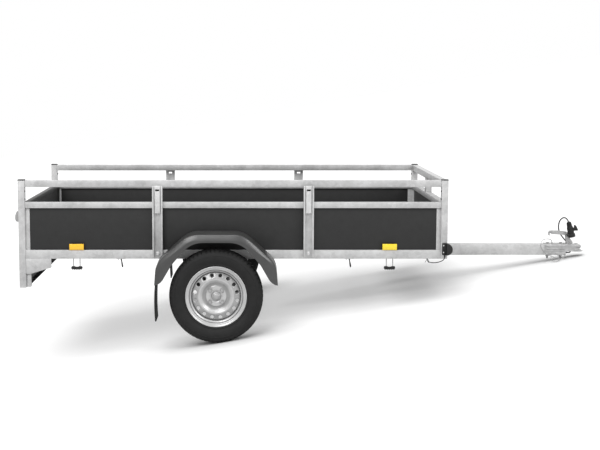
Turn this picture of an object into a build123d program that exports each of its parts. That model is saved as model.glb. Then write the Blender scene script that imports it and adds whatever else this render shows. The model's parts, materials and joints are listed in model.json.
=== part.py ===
from build123d import *
from math import asin, atan2, cos, degrees, hypot, radians, sin, tan
import os

# Single-axle utility trailer with an open bed, a drop tailgate and a straight drawbar.
# It is modelled level: x = 0 on the wheel axle and forward to the coupling, y = 0 on the
# centre line and to the left, z = 0 on the ground under the wheels.  Sizes are in millimetres.
# It has no jack, so it parks with its coupling bolts on the ground: the last section turns
# the finished pieces nose-down about the wheels and puts the origin under their middle.

os.makedirs("parts", exist_ok=True)
SIDES = (-1, 1)  # right side, left side
WHEEL_FACETS = 36  # flats round the tyres and the rims
ROUND = 12  # sides of small bars, pins and holes

# ---- driving dimensions ----

# bed
BED_REAR = -1200.0  # rear face of the rear posts
BED_LENGTH = 2600.0
BED_WIDTH = 1400.0
POST = 40.0
POST_WALL = 2.0
REAR_POST_FOOT = 301.0
RAIL = 40.0
RAIL_WALL = 2.0
RAIL_INSET = 3.0  # rails lie this far inside the posts' outer faces
SILL_LOW = 479.0
SILL_HEIGHT = 53.0
MID_RAIL_LOW = 783.0
TOP_RAIL_LOW = 916.0
CAP_THICK = 5.0
CAP_LIP = 1.0
FLOOR_THICK = 12.0
PANEL_THICK = 12.0
PANEL_CHANNEL = 27.0
CHANNEL_SKIN = 3.0
CROSS_MEMBER_WIDTH = 40.0
CROSS_MEMBER_STEEL = 3.0
CROSS_MEMBER_COUNT = 7

# side posts: open channels on the outside of the rails
SIDE_POST_SPREAD = 457.0  # from the bed's middle
SIDE_POST_WIDTH = 62.0
SIDE_POST_DEPTH = 25.0
SIDE_POST_STEEL = 3.0
SIDE_POST_LIP = 10.0
SIDE_POST_LOW = 490.0
SIDE_POST_HIGH = 924.0
SPIGOT_WIDTH = 34.0
SPIGOT_DEPTH = 16.0
SPIGOT_LOW = 758.0
SLOT_LENGTH = 24.0
SLOT_HEIGHT = 12.0
SLOT_Z = 897.0

# running gear
TYRE_RADIUS = 281.0
TYRE_WIDTH = 145.0
SHOULDER_INSET = 9.0
SHOULDER_DROP = 14.0
CROWN_HALF = 46.0
WALL_THICK = 10.0
TREAD_THICK = 14.0
BEAD_THICK = 12.0
BEAD_RADIUS = 165.0
FLANGE_RADIUS = 182.0
FLANGE_FLARE = 7.0
RIM_WIDTH = 114.0
RIM_STEEL = 4.0
WELL_RADIUS = 148.0
WELL_OUTER = 10.0  # x of the well's two edges from the tyre's middle, outboard positive
WELL_INNER = -29.0
WHEEL_INSET = 49.5  # from the mudguards' inner edges to the tyres
DISC_OFFSET = 30.0
DISC_SEAT = 85.0
DISC_CROWN = 103.0
DISC_DISH = 13.0
VENT_COUNT = 16
VENT_RADIUS = 11.0
VENT_CIRCLE = 127.0
STUD_COUNT = 4
STUD_CIRCLE = 50.0
STUD_RADIUS = 6.0
NUT_RADIUS = 9.8
NUT_HEIGHT = 13.0
HUB_RADIUS = 62.0
HUB_SLEEVE = 36.0
HUB_FLANGE = 12.0
HUB_HOLE = 29.0
HUB_CAP = 24.0
STUB_RADIUS = 17.5
AXLE_TUBE = 65.0
AXLE_X = 131.0
AXLE_SETBACK = 155.0  # from the wheels' middles to the beam's ends
ARM_THICK = 22.0
STOOL_LENGTH = 120.0
STOOL_WIDTH = 90.0
STOOL_INSET = 100.0  # from the bed's sides to the stools' middles
RUNNING_GAP = 0.3
HUB_STANDOFF = 30.0  # from the arm to the hub's sleeve
STUD_CLEARANCE = 1.0

# mudguards: x and z of the outer form's corners, then of the wheel opening in its outer face
GUARD_GAP = 1.0  # from the side posts to the mudguards
GUARD_WIDTH = 202.0
GUARD_SKIN = 4.0
GUARD_TOP = 652.0
GUARD_FLAT = 163.0
GUARD_KNEE_X = 358.0
GUARD_KNEE_Z = 479.0
GUARD_END_X = 368.0
GUARD_END_Z = 350.0
GUARD_BEND = 124.0
GUARD_ARCH = 153.0
GUARD_BEVEL = 14.0
GUARD_LIP = 40.0  # width of the inner lip, beside the bed
SKIRT_LOW = 606.0
SKIRT_FLAT = 148.0
SKIRT_KNEE_X = 262.0
SKIRT_KNEE_Z = 474.0
SKIRT_SHIN_X = 322.0
SKIRT_SHIN_Z = 372.0
SKIRT_TOE = 351.0
STAY_X = 300.0
STAY_WIDTH = 30.0
STAY_STEEL = 3.0
STAY_HEIGHT = 40.0
STAY_LIFT = 6.0
FLAP_THICK = 9.0
FLAP_WIDTH = 170.0
FLAP_LOW = 135.0
FLAP_LAP = 36.0
FLAP_CURVE = 1400.0

# drawbar and coupling
DRAWBAR = 70.0
DRAWBAR_WALL = 3.0
DRAWBAR_REAR = 95.0
DRAWBAR_END = 2290.0
PLUG_THICK = 6.0  # plastic plug that closes the drawbar's end
BOLT_RADIUS = 6.0
BOLT_HEAD = 11.0
BOLT_TIP = 381.0
HEAD_HEIGHT = 8.0
BOLT_SETBACKS = (115.0, 28.0)  # from the drawbar's end
HOUSING_LAP = 138.0  # length over the drawbar
HOUSING_STEEL = 4.0
HOUSING_LOW = 433.0
HOUSING_ROUND = 5.0
BALL_REACH = 68.0  # from the drawbar's end to the ball's centre
BALL_RADIUS = 25.0
BALL_Z = 455.0
SKIRT_STEP = 12.0
LUG_HEIGHT = 22.0
HANDLE_WIDTH = 24.0
HANDLE_LENGTH = 178.0  # from the ball's centre back to the hooked end
HANDLE_RISE = 85.0
GRIP_DEPTH = 24.0
GRIP_HOOK = 34.0
STRUT_FRONT = 13.0  # behind the ball's centre
STRUT_WIDTH = 40.0
SEAT_RADIUS = 29.0
SEAT_DEPTH = 16.0

# tailgate
GATE_GAP = 5.0
GATE_SETBACK = 30.0  # from the rear posts' rear faces
GATE_THICK = 27.0
GATE_LOW = 485.0
GATE_FRAME = 30.0
GATE_BOARD = 12.0
HINGE_SETBACK = 10.0
HINGE_Y = 450.0
HINGE_RADIUS = 8.0
HINGE_LEAF_HIGH = 85.0
PIN_RADIUS = 4.0
KNUCKLE = 30.0
KNUCKLE_GAP = 1.0
LEAF = 5.0
BRACKET_REACH = 30.0
LATCH_WIDTH = 22.0
LATCH_HIGH = 771.0
LATCH_HEIGHT = 67.0
LATCH_PLATE = 3.0
LATCH_BELLY = 21.0

# rear light board
BOARD_SETBACK = 34.0  # from the rear posts' rear faces
BOARD_DEPTH = 34.0
BOARD_LOW = 320.0
BOARD_HIGH = 465.0
BOARD_STEEL = 3.0
BOARD_CHANNEL = 3.0
BOARD_END = 26.0
LAMP_LENGTH = 185.0
LAMP_HEIGHT = 100.0
LAMP_DEPTH = 28.0
LAMP_Y = 520.0
LAMP_ROUND = 9.0
GUSSET_LENGTH = 155.0
GUSSET_HEIGHT = 93.0
GUSSET_STEEL = 4.0
TRIANGLE_SIDE = 150.0
TRIANGLE_Y = 330.0
TRIANGLE_THICK = 6.0

# side lamps, reflectors and lashing points
REFLECTOR_SPREAD = 950.0  # from the bed's middle
REFLECTOR_LENGTH = 88.0
REFLECTOR_HEIGHT = 38.0
REFLECTOR_THICK = 6.0
MARKER_RADIUS = 36.5
MARKER_LOW = 503.0
MARKER_REAR = 33.0  # from the post's front face
MARKER_PLATE = 8.0
MARKER_DEPTH = 38.0
LOOP_SPREAD = 39.0
LOOP_ROD = 3.0
LOOP_DROP = 50.0
GRIP_LENGTH = 68.0
GRIP_HEIGHT = 23.0
GRIP_THICK = 14.0
HOOK_SETS = (-682.0, 707.0)  # from the bed's middle
HOOK_PLATE = 56.0
HOOK_PLATE_THICK = 3.0
HOOK_ROD = 4.0
HOOK_DROP = 52.0
HOOK_LEAN = 10.0

# cables: diameter, then the points their route turns at
ARC_SHARE = 0.45  # of a run, taken by the arc at each of its ends
ELECTRIC_DIAMETER = 8.0
ELECTRIC_ROUTE = [(2290, 12, 419), (2308, 12, 419), (2330, 26, 417), (2344, 50, 422), (2347, 71, 440),
                  (2335, 78, 466), (2313, 73, 490), (2292, 58, 512), (2271, 40, 534), (2256, 26, 560),
                  (2249, 17, 588), (2250, 8, 620), (2265, 4, 645), (2279, -19, 670), (2300, -42, 659),
                  (2307, -42, 631)]
SAFETY_DIAMETER = 4.0
SAFETY_ROUTE = [(2200, -20, 483), (2200, -20, 501), (2187, -28, 520), (2157, -32, 524), (2134, -47, 513),
                (2118, -61, 490), (2116, -61, 467), (2134, -57, 438), (2156, -58, 417), (2183, -54, 406),
                (2214, -57, 394), (2235, -61, 385), (2258, -71, 389), (2274, -69, 402), (2282, -53, 414),
                (2282, -35, 414)]
LOOP_ROUTE = [(2187, -35, 416), (2187, -55, 416), (2185, -79, 396), (2184, -99, 381), (2196, -115, 375),
              (2218, -117, 378), (2233, -103, 385), (2232, -80, 401), (2229, -57, 416), (2229, -35, 416)]
MARKER_DIAMETER = 5.0
MARKER_ROUTE = [(1384, -708, 503), (1384, -708, 482), (1377, -698, 460), (1358, -681, 447), (1334, -664, 441),
                (1311, -650, 440), (1293, -641, 447), (1286, -640, 460), (1286, -640, 479)]
PLUG_FACE = (2331.0, -42.0, 535.0)
PLUG_RADIUS = 21.0
PLUG_COLLAR = 24.0
PLUG_TAIL = 9.0
PLUG_COLLAR_SHARE = 0.16  # of the plug's length
PLUG_BODY_SHARE = 0.66

# ---- places worked out from them ----

half_width = BED_WIDTH / 2
bed_front = BED_REAR + BED_LENGTH
bed_middle = BED_REAR + BED_LENGTH / 2
post_x = {"rear": BED_REAR + POST / 2, "front": bed_front - POST / 2}
post_y = half_width - POST / 2
rails_rear = BED_REAR + POST
rails_front = bed_front - POST
rail_y = half_width - RAIL_INSET - RAIL / 2
rail_outer = half_width - RAIL_INSET
rail_inner = rail_outer - RAIL
post_inner = half_width - POST
sill_top = SILL_LOW + SILL_HEIGHT
mid_rail_top = MID_RAIL_LOW + RAIL
bed_top = TOP_RAIL_LOW + RAIL
drawbar_top = SILL_LOW
drawbar_low = drawbar_top - DRAWBAR
axle_z = drawbar_low - AXLE_TUBE / 2
gate_rear = BED_REAR + GATE_SETBACK
gate_front = gate_rear + GATE_THICK
floor_rear = gate_front + GATE_GAP
hinge_x = BED_REAR + HINGE_SETBACK
hinge_z = SILL_LOW - LEAF / 2
board_rear = BED_REAR + BOARD_SETBACK
side_post_x = [bed_middle + side * SIDE_POST_SPREAD for side in SIDES]
bolt_x = [DRAWBAR_END - setback for setback in BOLT_SETBACKS]
ball_x = DRAWBAR_END + BALL_REACH
guard_inner = rail_outer + SIDE_POST_DEPTH + GUARD_GAP
guard_outer = guard_inner + GUARD_WIDTH
wheel_y = guard_inner + WHEEL_INSET + TYRE_WIDTH / 2
axle_half = wheel_y - AXLE_SETBACK
stool_y = half_width - STOOL_INSET

pieces = []  # every finished builder, in order


def along_x(x):
    """The upright plane across the trailer at x, its own x and y being y and z."""
    return Plane(origin=(x, 0, 0), x_dir=(0, 1, 0), z_dir=(1, 0, 0))


def along_y(y):
    """The upright plane along the trailer at y, its own x and y being x and z."""
    return Plane(origin=(0, y, 0), x_dir=(1, 0, 0), z_dir=(0, -1, 0))


def tube(plane, centre, width, height, wall, length):
    """Add a hollow rectangular bar that starts on a plane and follows its normal."""
    with BuildSketch(plane) as section:
        with Locations(centre):
            Rectangle(width, height)
            Rectangle(width - 2 * wall, height - 2 * wall, mode=Mode.SUBTRACT)
    extrude(section.sketch, amount=length)


def block(low, high, mode=Mode.ADD):
    """Add a box between two corners."""
    size = [b - a for a, b in zip(low, high)]
    with Locations(tuple((a + b) / 2 for a, b in zip(low, high))):
        Box(*size, mode=mode)


def outward(side, near, far):
    """The lower and the upper y of a stretch that lies between two distances from the middle."""
    return sorted((side * near, side * far))


def finish(builder, label):
    """Name a finished sub-part and keep it for the export."""
    builder.part.label = label
    pieces.append(builder)


# ---- bed: posts, rails, sills ----

with BuildPart() as corner_posts:
    for side in SIDES:
        for end, foot in (("rear", REAR_POST_FOOT), ("front", SILL_LOW)):
            ground = Plane.XY.offset(foot)
            tube(ground, (post_x[end], side * post_y), POST, POST, POST_WALL, bed_top - foot)
finish(corner_posts, "corner_posts")

with BuildPart() as post_caps:
    for side in SIDES:
        for x in post_x.values():
            with Locations((x, side * post_y, bed_top + CAP_THICK / 2)):
                Box(POST + 2 * CAP_LIP, POST + 2 * CAP_LIP, CAP_THICK)
finish(post_caps, "post_caps")

with BuildPart() as top_rails:
    for side in SIDES:
        tube(along_x(rails_rear), (side * rail_y, TOP_RAIL_LOW + RAIL / 2), RAIL, RAIL, RAIL_WALL,
             rails_front - rails_rear)
finish(top_rails, "top_rails")

with BuildPart() as mid_rails:
    for side in SIDES:
        tube(along_x(rails_rear), (side * rail_y, MID_RAIL_LOW + RAIL / 2), RAIL, RAIL, RAIL_WALL,
             rails_front - rails_rear)
finish(mid_rails, "mid_rails")

with BuildPart() as front_rails:
    for rail_low in (TOP_RAIL_LOW, MID_RAIL_LOW):
        centre = (post_x["front"], rail_low + RAIL / 2)
        tube(along_y(post_inner), centre, RAIL, RAIL, RAIL_WALL, 2 * post_inner)
finish(front_rails, "front_rails")

with BuildPart() as sills:
    for side in SIDES:
        tube(along_x(rails_rear), (side * rail_y, SILL_LOW + SILL_HEIGHT / 2), RAIL, SILL_HEIGHT,
             RAIL_WALL, rails_front - rails_rear)
finish(sills, "sills")

with BuildPart() as side_posts:
    for side in SIDES:
        for x in side_post_x:
            web = side * (rail_outer + SIDE_POST_STEEL / 2)
            with BuildSketch(Plane.XY.offset(SIDE_POST_LOW)) as channel:
                with Locations((x, side * (rail_outer + SIDE_POST_DEPTH / 2))):
                    Rectangle(SIDE_POST_WIDTH, SIDE_POST_DEPTH)
                    Rectangle(SIDE_POST_WIDTH - 2 * SIDE_POST_STEEL, SIDE_POST_DEPTH - 2 * SIDE_POST_STEEL,
                              mode=Mode.SUBTRACT)
                    Rectangle(SIDE_POST_WIDTH - 2 * SIDE_POST_LIP, SIDE_POST_DEPTH, mode=Mode.SUBTRACT)
                with Locations((x, web)):
                    Rectangle(SIDE_POST_WIDTH, SIDE_POST_STEEL)
            extrude(channel.sketch, amount=SIDE_POST_HIGH - SIDE_POST_LOW)
            with Locations((x, web, SLOT_Z)):
                Box(SLOT_LENGTH, 2 * SIDE_POST_STEEL, SLOT_HEIGHT, mode=Mode.SUBTRACT)
finish(side_posts, "side_posts")

with BuildPart() as spigots:
    for side in SIDES:
        for x in side_post_x:
            y = side * (rail_outer + SIDE_POST_STEEL + SPIGOT_DEPTH / 2)
            tube(Plane.XY.offset(SPIGOT_LOW), (x, y), SPIGOT_WIDTH, SPIGOT_DEPTH, POST_WALL,
                 SIDE_POST_HIGH - SPIGOT_LOW)
            with Locations((x, y, SLOT_Z)):
                Box(SLOT_LENGTH, 2 * SPIGOT_DEPTH, SLOT_HEIGHT, mode=Mode.SUBTRACT)
finish(spigots, "spigots")

# ---- boards ----

panel_low, panel_high = sill_top, MID_RAIL_LOW
with BuildPart() as side_panels:
    for side in SIDES:
        with Locations((bed_middle, side * rail_y, (panel_low + panel_high) / 2)):
            Box(rails_front - rails_rear - 2 * CHANNEL_SKIN, PANEL_THICK, panel_high - panel_low)
finish(side_panels, "side_panels")

with BuildPart() as headboard:
    with Locations((post_x["front"], 0, (panel_low + panel_high) / 2)):
        Box(PANEL_THICK, 2 * (post_inner - CHANNEL_SKIN), panel_high - panel_low)
finish(headboard, "headboard")

with BuildPart() as panel_channels:
    for side in SIDES:
        for x, inward in ((rails_rear, 1), (rails_front, -1)):
            with BuildSketch(Plane.XY.offset(panel_low)) as channel:
                with Locations((x + inward * PANEL_CHANNEL / 2, side * rail_y)):
                    Rectangle(PANEL_CHANNEL, PANEL_THICK + 2 * CHANNEL_SKIN)
                with Locations((x + inward * (CHANNEL_SKIN + PANEL_CHANNEL / 2), side * rail_y)):
                    Rectangle(PANEL_CHANNEL, PANEL_THICK, mode=Mode.SUBTRACT)
            extrude(channel.sketch, amount=panel_high - panel_low)
        with BuildSketch(Plane.XY.offset(panel_low)) as channel:
            with Locations((post_x["front"], side * (post_inner - PANEL_CHANNEL / 2))):
                Rectangle(PANEL_THICK + 2 * CHANNEL_SKIN, PANEL_CHANNEL)
            with Locations((post_x["front"], side * (post_inner - CHANNEL_SKIN - PANEL_CHANNEL / 2))):
                Rectangle(PANEL_THICK, PANEL_CHANNEL, mode=Mode.SUBTRACT)
        extrude(channel.sketch, amount=panel_high - panel_low)
finish(panel_channels, "panel_channels")

with BuildPart() as front_stay:
    stay_low = mid_rail_top
    tube(Plane.XY.offset(stay_low), (post_x["front"], 0), RAIL, RAIL, RAIL_WALL, TOP_RAIL_LOW - stay_low)
finish(front_stay, "front_stay")

with BuildPart() as floor_board:
    block((floor_rear, -rail_inner, sill_top - FLOOR_THICK), (rails_front, rail_inner, sill_top))
finish(floor_board, "floor_board")

# ---- underframe ----


def bolt_holes(low, height):
    """Cut the coupling bolts' holes through whatever is being built."""
    with BuildSketch(Plane.XY.offset(low)) as holes:
        with Locations(*[(x, 0) for x in bolt_x]):
            RegularPolygon(BOLT_RADIUS + RUNNING_GAP, ROUND)
    extrude(holes.sketch, amount=height, mode=Mode.SUBTRACT)



cross_member_top = sill_top - FLOOR_THICK
cross_member_first = floor_rear
cross_member_last = rails_front - 2 * CROSS_MEMBER_WIDTH
cross_member_pitch = (cross_member_last - cross_member_first) / (CROSS_MEMBER_COUNT - 1)
with BuildPart() as cross_members:
    for i in range(CROSS_MEMBER_COUNT):
        x = cross_member_first + i * cross_member_pitch
        with BuildSketch(along_y(rail_inner)) as channel:
            middle = (SILL_LOW + cross_member_top) / 2
            with Locations((x + CROSS_MEMBER_WIDTH / 2, middle)):
                Rectangle(CROSS_MEMBER_WIDTH, cross_member_top - SILL_LOW)
            with Locations((x + CROSS_MEMBER_WIDTH / 2 + CROSS_MEMBER_STEEL, middle)):
                Rectangle(CROSS_MEMBER_WIDTH, cross_member_top - SILL_LOW - 2 * CROSS_MEMBER_STEEL,
                          mode=Mode.SUBTRACT)
        extrude(channel.sketch, amount=2 * rail_inner)
    tube(along_y(post_inner), (post_x["front"], SILL_LOW + SILL_HEIGHT / 2), RAIL, SILL_HEIGHT,
         RAIL_WALL, 2 * post_inner)
finish(cross_members, "cross_members")

with BuildPart() as drawbar:
    tube(along_x(DRAWBAR_REAR), (0, drawbar_low + DRAWBAR / 2), DRAWBAR, DRAWBAR, DRAWBAR_WALL,
         DRAWBAR_END - DRAWBAR_REAR)
    bolt_holes(drawbar_low - 1, DRAWBAR + 2)
finish(drawbar, "drawbar")

bore_half = DRAWBAR / 2 - DRAWBAR_WALL
with BuildPart() as drawbar_plug:
    block((DRAWBAR_END - PLUG_THICK, -bore_half, drawbar_low + DRAWBAR_WALL),
          (DRAWBAR_END, bore_half, drawbar_top - DRAWBAR_WALL))
finish(drawbar_plug, "drawbar_plug")

with BuildPart() as axle_beam:
    tube(along_y(axle_half), (AXLE_X, axle_z), AXLE_TUBE, AXLE_TUBE, DRAWBAR_WALL, 2 * axle_half)
finish(axle_beam, "axle_beam")

axle_top = axle_z + AXLE_TUBE / 2
with BuildPart() as axle_brackets:
    for side in SIDES:
        tube(Plane.XY.offset(axle_top), (AXLE_X, side * stool_y), STOOL_LENGTH, STOOL_WIDTH,
             HOUSING_STEEL, SILL_LOW - axle_top)
finish(axle_brackets, "axle_brackets")

arm_inner = axle_half
arm_outer = arm_inner + ARM_THICK
arm_clamp = 0.62 * AXLE_TUBE  # radius of the arm's eye round the axle's end
arm_boss = 1.7 * STUB_RADIUS
stub_end = wheel_y + DISC_OFFSET + STUB_RADIUS / 2
with BuildPart() as axle_arms:
    for side in SIDES:
        with BuildSketch(along_y(side * arm_inner)) as arm:
            with Locations((AXLE_X, axle_z)):
                RegularPolygon(arm_clamp, ROUND)
            with Locations((0, TYRE_RADIUS)):
                RegularPolygon(arm_boss, ROUND)
            make_hull()
        extrude(arm.sketch, amount=-side * ARM_THICK)
        with BuildSketch(along_y(side * arm_outer)) as stub:
            with Locations((0, TYRE_RADIUS)):
                RegularPolygon(STUB_RADIUS, 2 * ROUND)
        extrude(stub.sketch, amount=-side * (stub_end - arm_outer))
finish(axle_arms, "axle_arms")

# ---- wheels ----


def wheel_face(side, offset):
    """A plane square to a wheel's axis, this far outboard of the tyre's middle."""
    return Plane(origin=(0, side * (wheel_y + offset), TYRE_RADIUS), x_dir=(1, 0, 0), z_dir=(0, side, 0))


def wheel_ring(side, points):
    """Add a ring round a wheel's axis: a section of offsets outboard and radii, swept round many flats."""
    half_flat = 180 / WHEEL_FACETS
    face = wheel_face(side, 0)
    flat = TYRE_RADIUS * cos(radians(half_flat))  # from the axis to the middle of a flat of the path
    start = face.from_local_coords((flat, 0, 0))
    turns = [half_flat * (2 * i + 1) for i in range(WHEEL_FACETS)]
    corners = [face.from_local_coords(Vector(TYRE_RADIUS, 0).rotate(Axis.Z, turn)) for turn in turns]
    with BuildLine() as path:
        Polyline(start, *corners, close=True)
    with BuildSketch(Plane(origin=start, x_dir=face.z_dir, z_dir=face.y_dir)) as section:
        with BuildLine():
            Polyline(*[(x, radius * cos(radians(half_flat)) - flat) for x, radius in points], close=True)
        make_face()
    sweep(section.sketch, path=path.wire(), transition=Transition.RIGHT)


def wheel_bar(side, radius, sides, near, far, mode=Mode.ADD):
    """Add a straight bar on a wheel's axis between two distances outboard of the tyre's middle."""
    with BuildSketch(wheel_face(side, near)) as section:
        RegularPolygon(radius, sides)
    extrude(section.sketch, amount=far - near, mode=mode)


def sheet_section(points, thick):
    """The corners round a sheet of this thickness whose middle line has these points."""
    steps = [(Vector(*b) - Vector(*a)).normalized() for a, b in zip(points, points[1:])]
    offsets = []
    for before, after in zip(steps[:1] + steps, steps + steps[-1:]):
        mitre = (before + after).normalized().rotate(Axis.Z, 90)
        offsets.append(mitre * (thick / 2 / mitre.dot(before.rotate(Axis.Z, 90))))
    left = [Vector(*point) + offset for point, offset in zip(points, offsets)]
    right = [Vector(*point) - offset for point, offset in zip(points, offsets)]
    return [(corner.X, corner.Y) for corner in left + right[::-1]]


half_tyre = TYRE_WIDTH / 2
half_rim = RIM_WIDTH / 2
bead = BEAD_RADIUS + RIM_STEEL / 2
edge = half_rim - RUNNING_GAP
flange_edge = FLANGE_RADIUS + 1.0
shoulder = half_tyre - SHOULDER_INSET
shoulder_radius = TYRE_RADIUS - SHOULDER_DROP
widest = (flange_edge + shoulder_radius) / 2
tyre_half = [(edge - BEAD_THICK, bead), (edge, bead), (edge, flange_edge), (half_tyre, widest),
             (shoulder, shoulder_radius), (CROWN_HALF, TYRE_RADIUS)]
tyre_lining = [(CROWN_HALF, TYRE_RADIUS - TREAD_THICK), (half_tyre - WALL_THICK, widest)]
well_inside = WELL_RADIUS - RIM_STEEL / 2
disc_outside = well_inside - RIM_STEEL / 2
disc_middle = DISC_OFFSET + RIM_STEEL / 2
disc_front = DISC_OFFSET + RIM_STEEL
rim_points = [(half_rim + FLANGE_FLARE, FLANGE_RADIUS), (half_rim + RIM_STEEL / 2, BEAD_RADIUS),
              (WELL_OUTER, WELL_RADIUS), (WELL_INNER, WELL_RADIUS), (-half_rim - RIM_STEEL / 2, BEAD_RADIUS),
              (-half_rim - FLANGE_FLARE, FLANGE_RADIUS)]
disc_points = [(disc_middle, HUB_HOLE), (disc_middle, DISC_SEAT), (disc_middle + DISC_DISH, DISC_CROWN),
               (disc_middle + DISC_DISH, disc_outside), (WELL_OUTER, disc_outside)]
hub_back = arm_outer + HUB_STANDOFF - wheel_y
hub_face = DISC_OFFSET - RUNNING_GAP
hub_cap = HUB_HOLE - RIM_STEEL / 2 - RUNNING_GAP
hub_bore = (STUB_RADIUS + RUNNING_GAP) / cos(radians(90 / ROUND))
stub_face = stub_end - wheel_y + RUNNING_GAP
for side, name in ((-1, "right"), (1, "left")):
    with BuildPart() as tyre:
        wheel_ring(side, tyre_half + [(-x, r) for x, r in reversed(tyre_half)]
                   + [(-x, r) for x, r in reversed(tyre_lining)] + tyre_lining)
    finish(tyre, f"tyre_{name}")

    with BuildPart() as rim:
        wheel_ring(side, sheet_section(rim_points, RIM_STEEL))
        wheel_ring(side, sheet_section(disc_points, RIM_STEEL))
        for circle, count, radius, sides in ((VENT_CIRCLE, VENT_COUNT, VENT_RADIUS, ROUND),
                                             (STUD_CIRCLE, STUD_COUNT, STUD_RADIUS + STUD_CLEARANCE, 6)):
            with BuildSketch(wheel_face(side, 0)) as holes:
                with PolarLocations(circle, count, start_angle=180 / count):
                    RegularPolygon(radius, sides)
            extrude(holes.sketch, amount=half_rim, mode=Mode.SUBTRACT)
    finish(rim, f"rim_{name}")

    with BuildPart() as hub:
        wheel_bar(side, HUB_SLEEVE, 2 * ROUND, hub_back, hub_face)
        wheel_bar(side, HUB_RADIUS, 2 * ROUND, hub_face - HUB_FLANGE, hub_face)
        wheel_bar(side, hub_cap, 2 * ROUND, hub_face, hub_face + HUB_CAP)
        cap_face = hub.faces().sort_by(Axis.Y)[-1 if side > 0 else 0]
        chamfer(cap_face.edges(), length=HUB_CAP / 4)
        wheel_bar(side, hub_bore, 2 * ROUND, hub_back, stub_face, mode=Mode.SUBTRACT)
        for radius, start, height in ((STUD_RADIUS, hub_face, RIM_STEEL + 2 * RUNNING_GAP),
                                      (NUT_RADIUS, disc_front + RUNNING_GAP, NUT_HEIGHT)):
            with BuildSketch(wheel_face(side, start)) as fasteners:
                with PolarLocations(STUD_CIRCLE, STUD_COUNT, start_angle=180 / STUD_COUNT):
                    RegularPolygon(radius, 6)
            extrude(fasteners.sketch, amount=height)
    finish(hub, f"hub_{name}")

# ---- mudguards and flaps ----


def guard_outline(inset=0.0):
    """Points of the mudguard's outer edge from the rear foot to the front foot, moved inward."""
    slope = atan2(GUARD_TOP - GUARD_KNEE_Z, GUARD_KNEE_X - GUARD_FLAT)
    flat = GUARD_FLAT - inset * tan(slope / 2)
    steep = atan2(GUARD_KNEE_Z - GUARD_END_Z, GUARD_END_X - GUARD_KNEE_X)
    shift = inset * tan((steep - slope) / 2)
    knee = (GUARD_KNEE_X - inset * sin(steep) - shift * cos(steep),
            GUARD_KNEE_Z - inset * cos(steep) + shift * sin(steep))
    end = (GUARD_END_X - inset / sin(steep), GUARD_END_Z)
    right = [(flat, GUARD_TOP - inset), knee, end]
    return [(-x, z) for x, z in reversed(right)] + right


def guard_face(plane, inset):
    """The face under the mudguard's outline, moved inward, down to its feet."""
    with BuildSketch(plane) as arch:
        with BuildLine():
            top = FilletPolyline(guard_outline(inset), radius=[GUARD_BEND - inset, GUARD_ARCH - inset,
                                                               GUARD_ARCH - inset, GUARD_BEND - inset])
            Line(top @ 0, top @ 1)
        make_face()
    return arch.sketch


def guard_form(side, inset):
    """The solid under the mudguard's skin, moved inward, with the bevel along its outer edge."""
    near, far = side * (guard_inner + inset), side * (guard_outer - inset)
    with BuildPart() as form:
        extrude(guard_face(along_y(near), inset), amount=near - far)
        outer_edges = [e for e in form.edges() if abs(e.center().Y - far) < 0.1]
        chamfer([e for e in outer_edges if e.center().Z > GUARD_END_Z + 1], length=GUARD_BEVEL)
    return form.part


def skirt_face(plane):
    """The wheel opening in the mudguard's outer face."""
    right = [(SKIRT_FLAT, SKIRT_LOW), (SKIRT_KNEE_X, SKIRT_KNEE_Z), (SKIRT_SHIN_X, SKIRT_SHIN_Z),
             (SKIRT_TOE, GUARD_END_Z)]
    points = [(-x, z) for x, z in reversed(right)] + right
    with BuildSketch(plane) as opening:
        with BuildLine():
            FilletPolyline(points, radius=[15, GUARD_ARCH, 100, 100, GUARD_ARCH, 15])
            Line(points[-1], points[0])
        make_face()
    return opening.sketch


guard_forms = [(guard_form(side, 0.0), guard_form(side, GUARD_SKIN)) for side in SIDES]
with BuildPart() as mudguards:
    for side, (outside, inside) in zip(SIDES, guard_forms):
        add(outside)
        add(inside, mode=Mode.SUBTRACT)
        through = -side * 2 * GUARD_SKIN
        extrude(guard_face(along_y(side * (guard_inner - GUARD_SKIN / 2)), GUARD_LIP), amount=through,
                mode=Mode.SUBTRACT)
        extrude(skirt_face(along_y(side * (guard_outer + GUARD_SKIN / 2))), amount=-through,
                mode=Mode.SUBTRACT)
finish(mudguards, "mudguards")

with BuildPart() as mudguard_stays:
    for side in SIDES:
        for x in (-STAY_X, STAY_X):
            reach = guard_inner - rail_outer
            tube(Plane.XY.offset(SILL_LOW + STAY_LIFT), (x, side * (rail_outer + reach / 2)),
                 STAY_WIDTH, reach, STAY_STEEL, STAY_HEIGHT)
finish(mudguard_stays, "mudguard_stays")

leg_lean = (GUARD_END_X - GUARD_KNEE_X) / (GUARD_KNEE_Z - GUARD_END_Z)


def flap_x(z):
    """x of the flap's middle where it lies against the rear leg's inner face."""
    inner_face = -(GUARD_KNEE_X + (GUARD_KNEE_Z - z) * leg_lean) + GUARD_SKIN * hypot(1, leg_lean)
    return inner_face + RUNNING_GAP + FLAP_THICK / 2


flap_top = GUARD_END_Z + FLAP_LAP
with BuildPart() as mudflaps:
    for side in SIDES:
        with BuildSketch(along_y(side * (guard_inner + (GUARD_WIDTH - GUARD_BEVEL) / 2))) as profile:
            with BuildLine():
                rear = Line((flap_x(flap_top), flap_top), (flap_x(GUARD_END_Z), GUARD_END_Z))
                JernArc(rear @ 1, rear % 1, FLAP_CURVE, degrees((GUARD_END_Z - FLAP_LOW) / FLAP_CURVE))
                offset(amount=FLAP_THICK / 2, side=Side.BOTH)
            make_face()
        extrude(profile.sketch, amount=FLAP_WIDTH / 2, both=True)
finish(mudflaps, "mudflaps")

# ---- rear light board, between the rear posts ----

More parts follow.
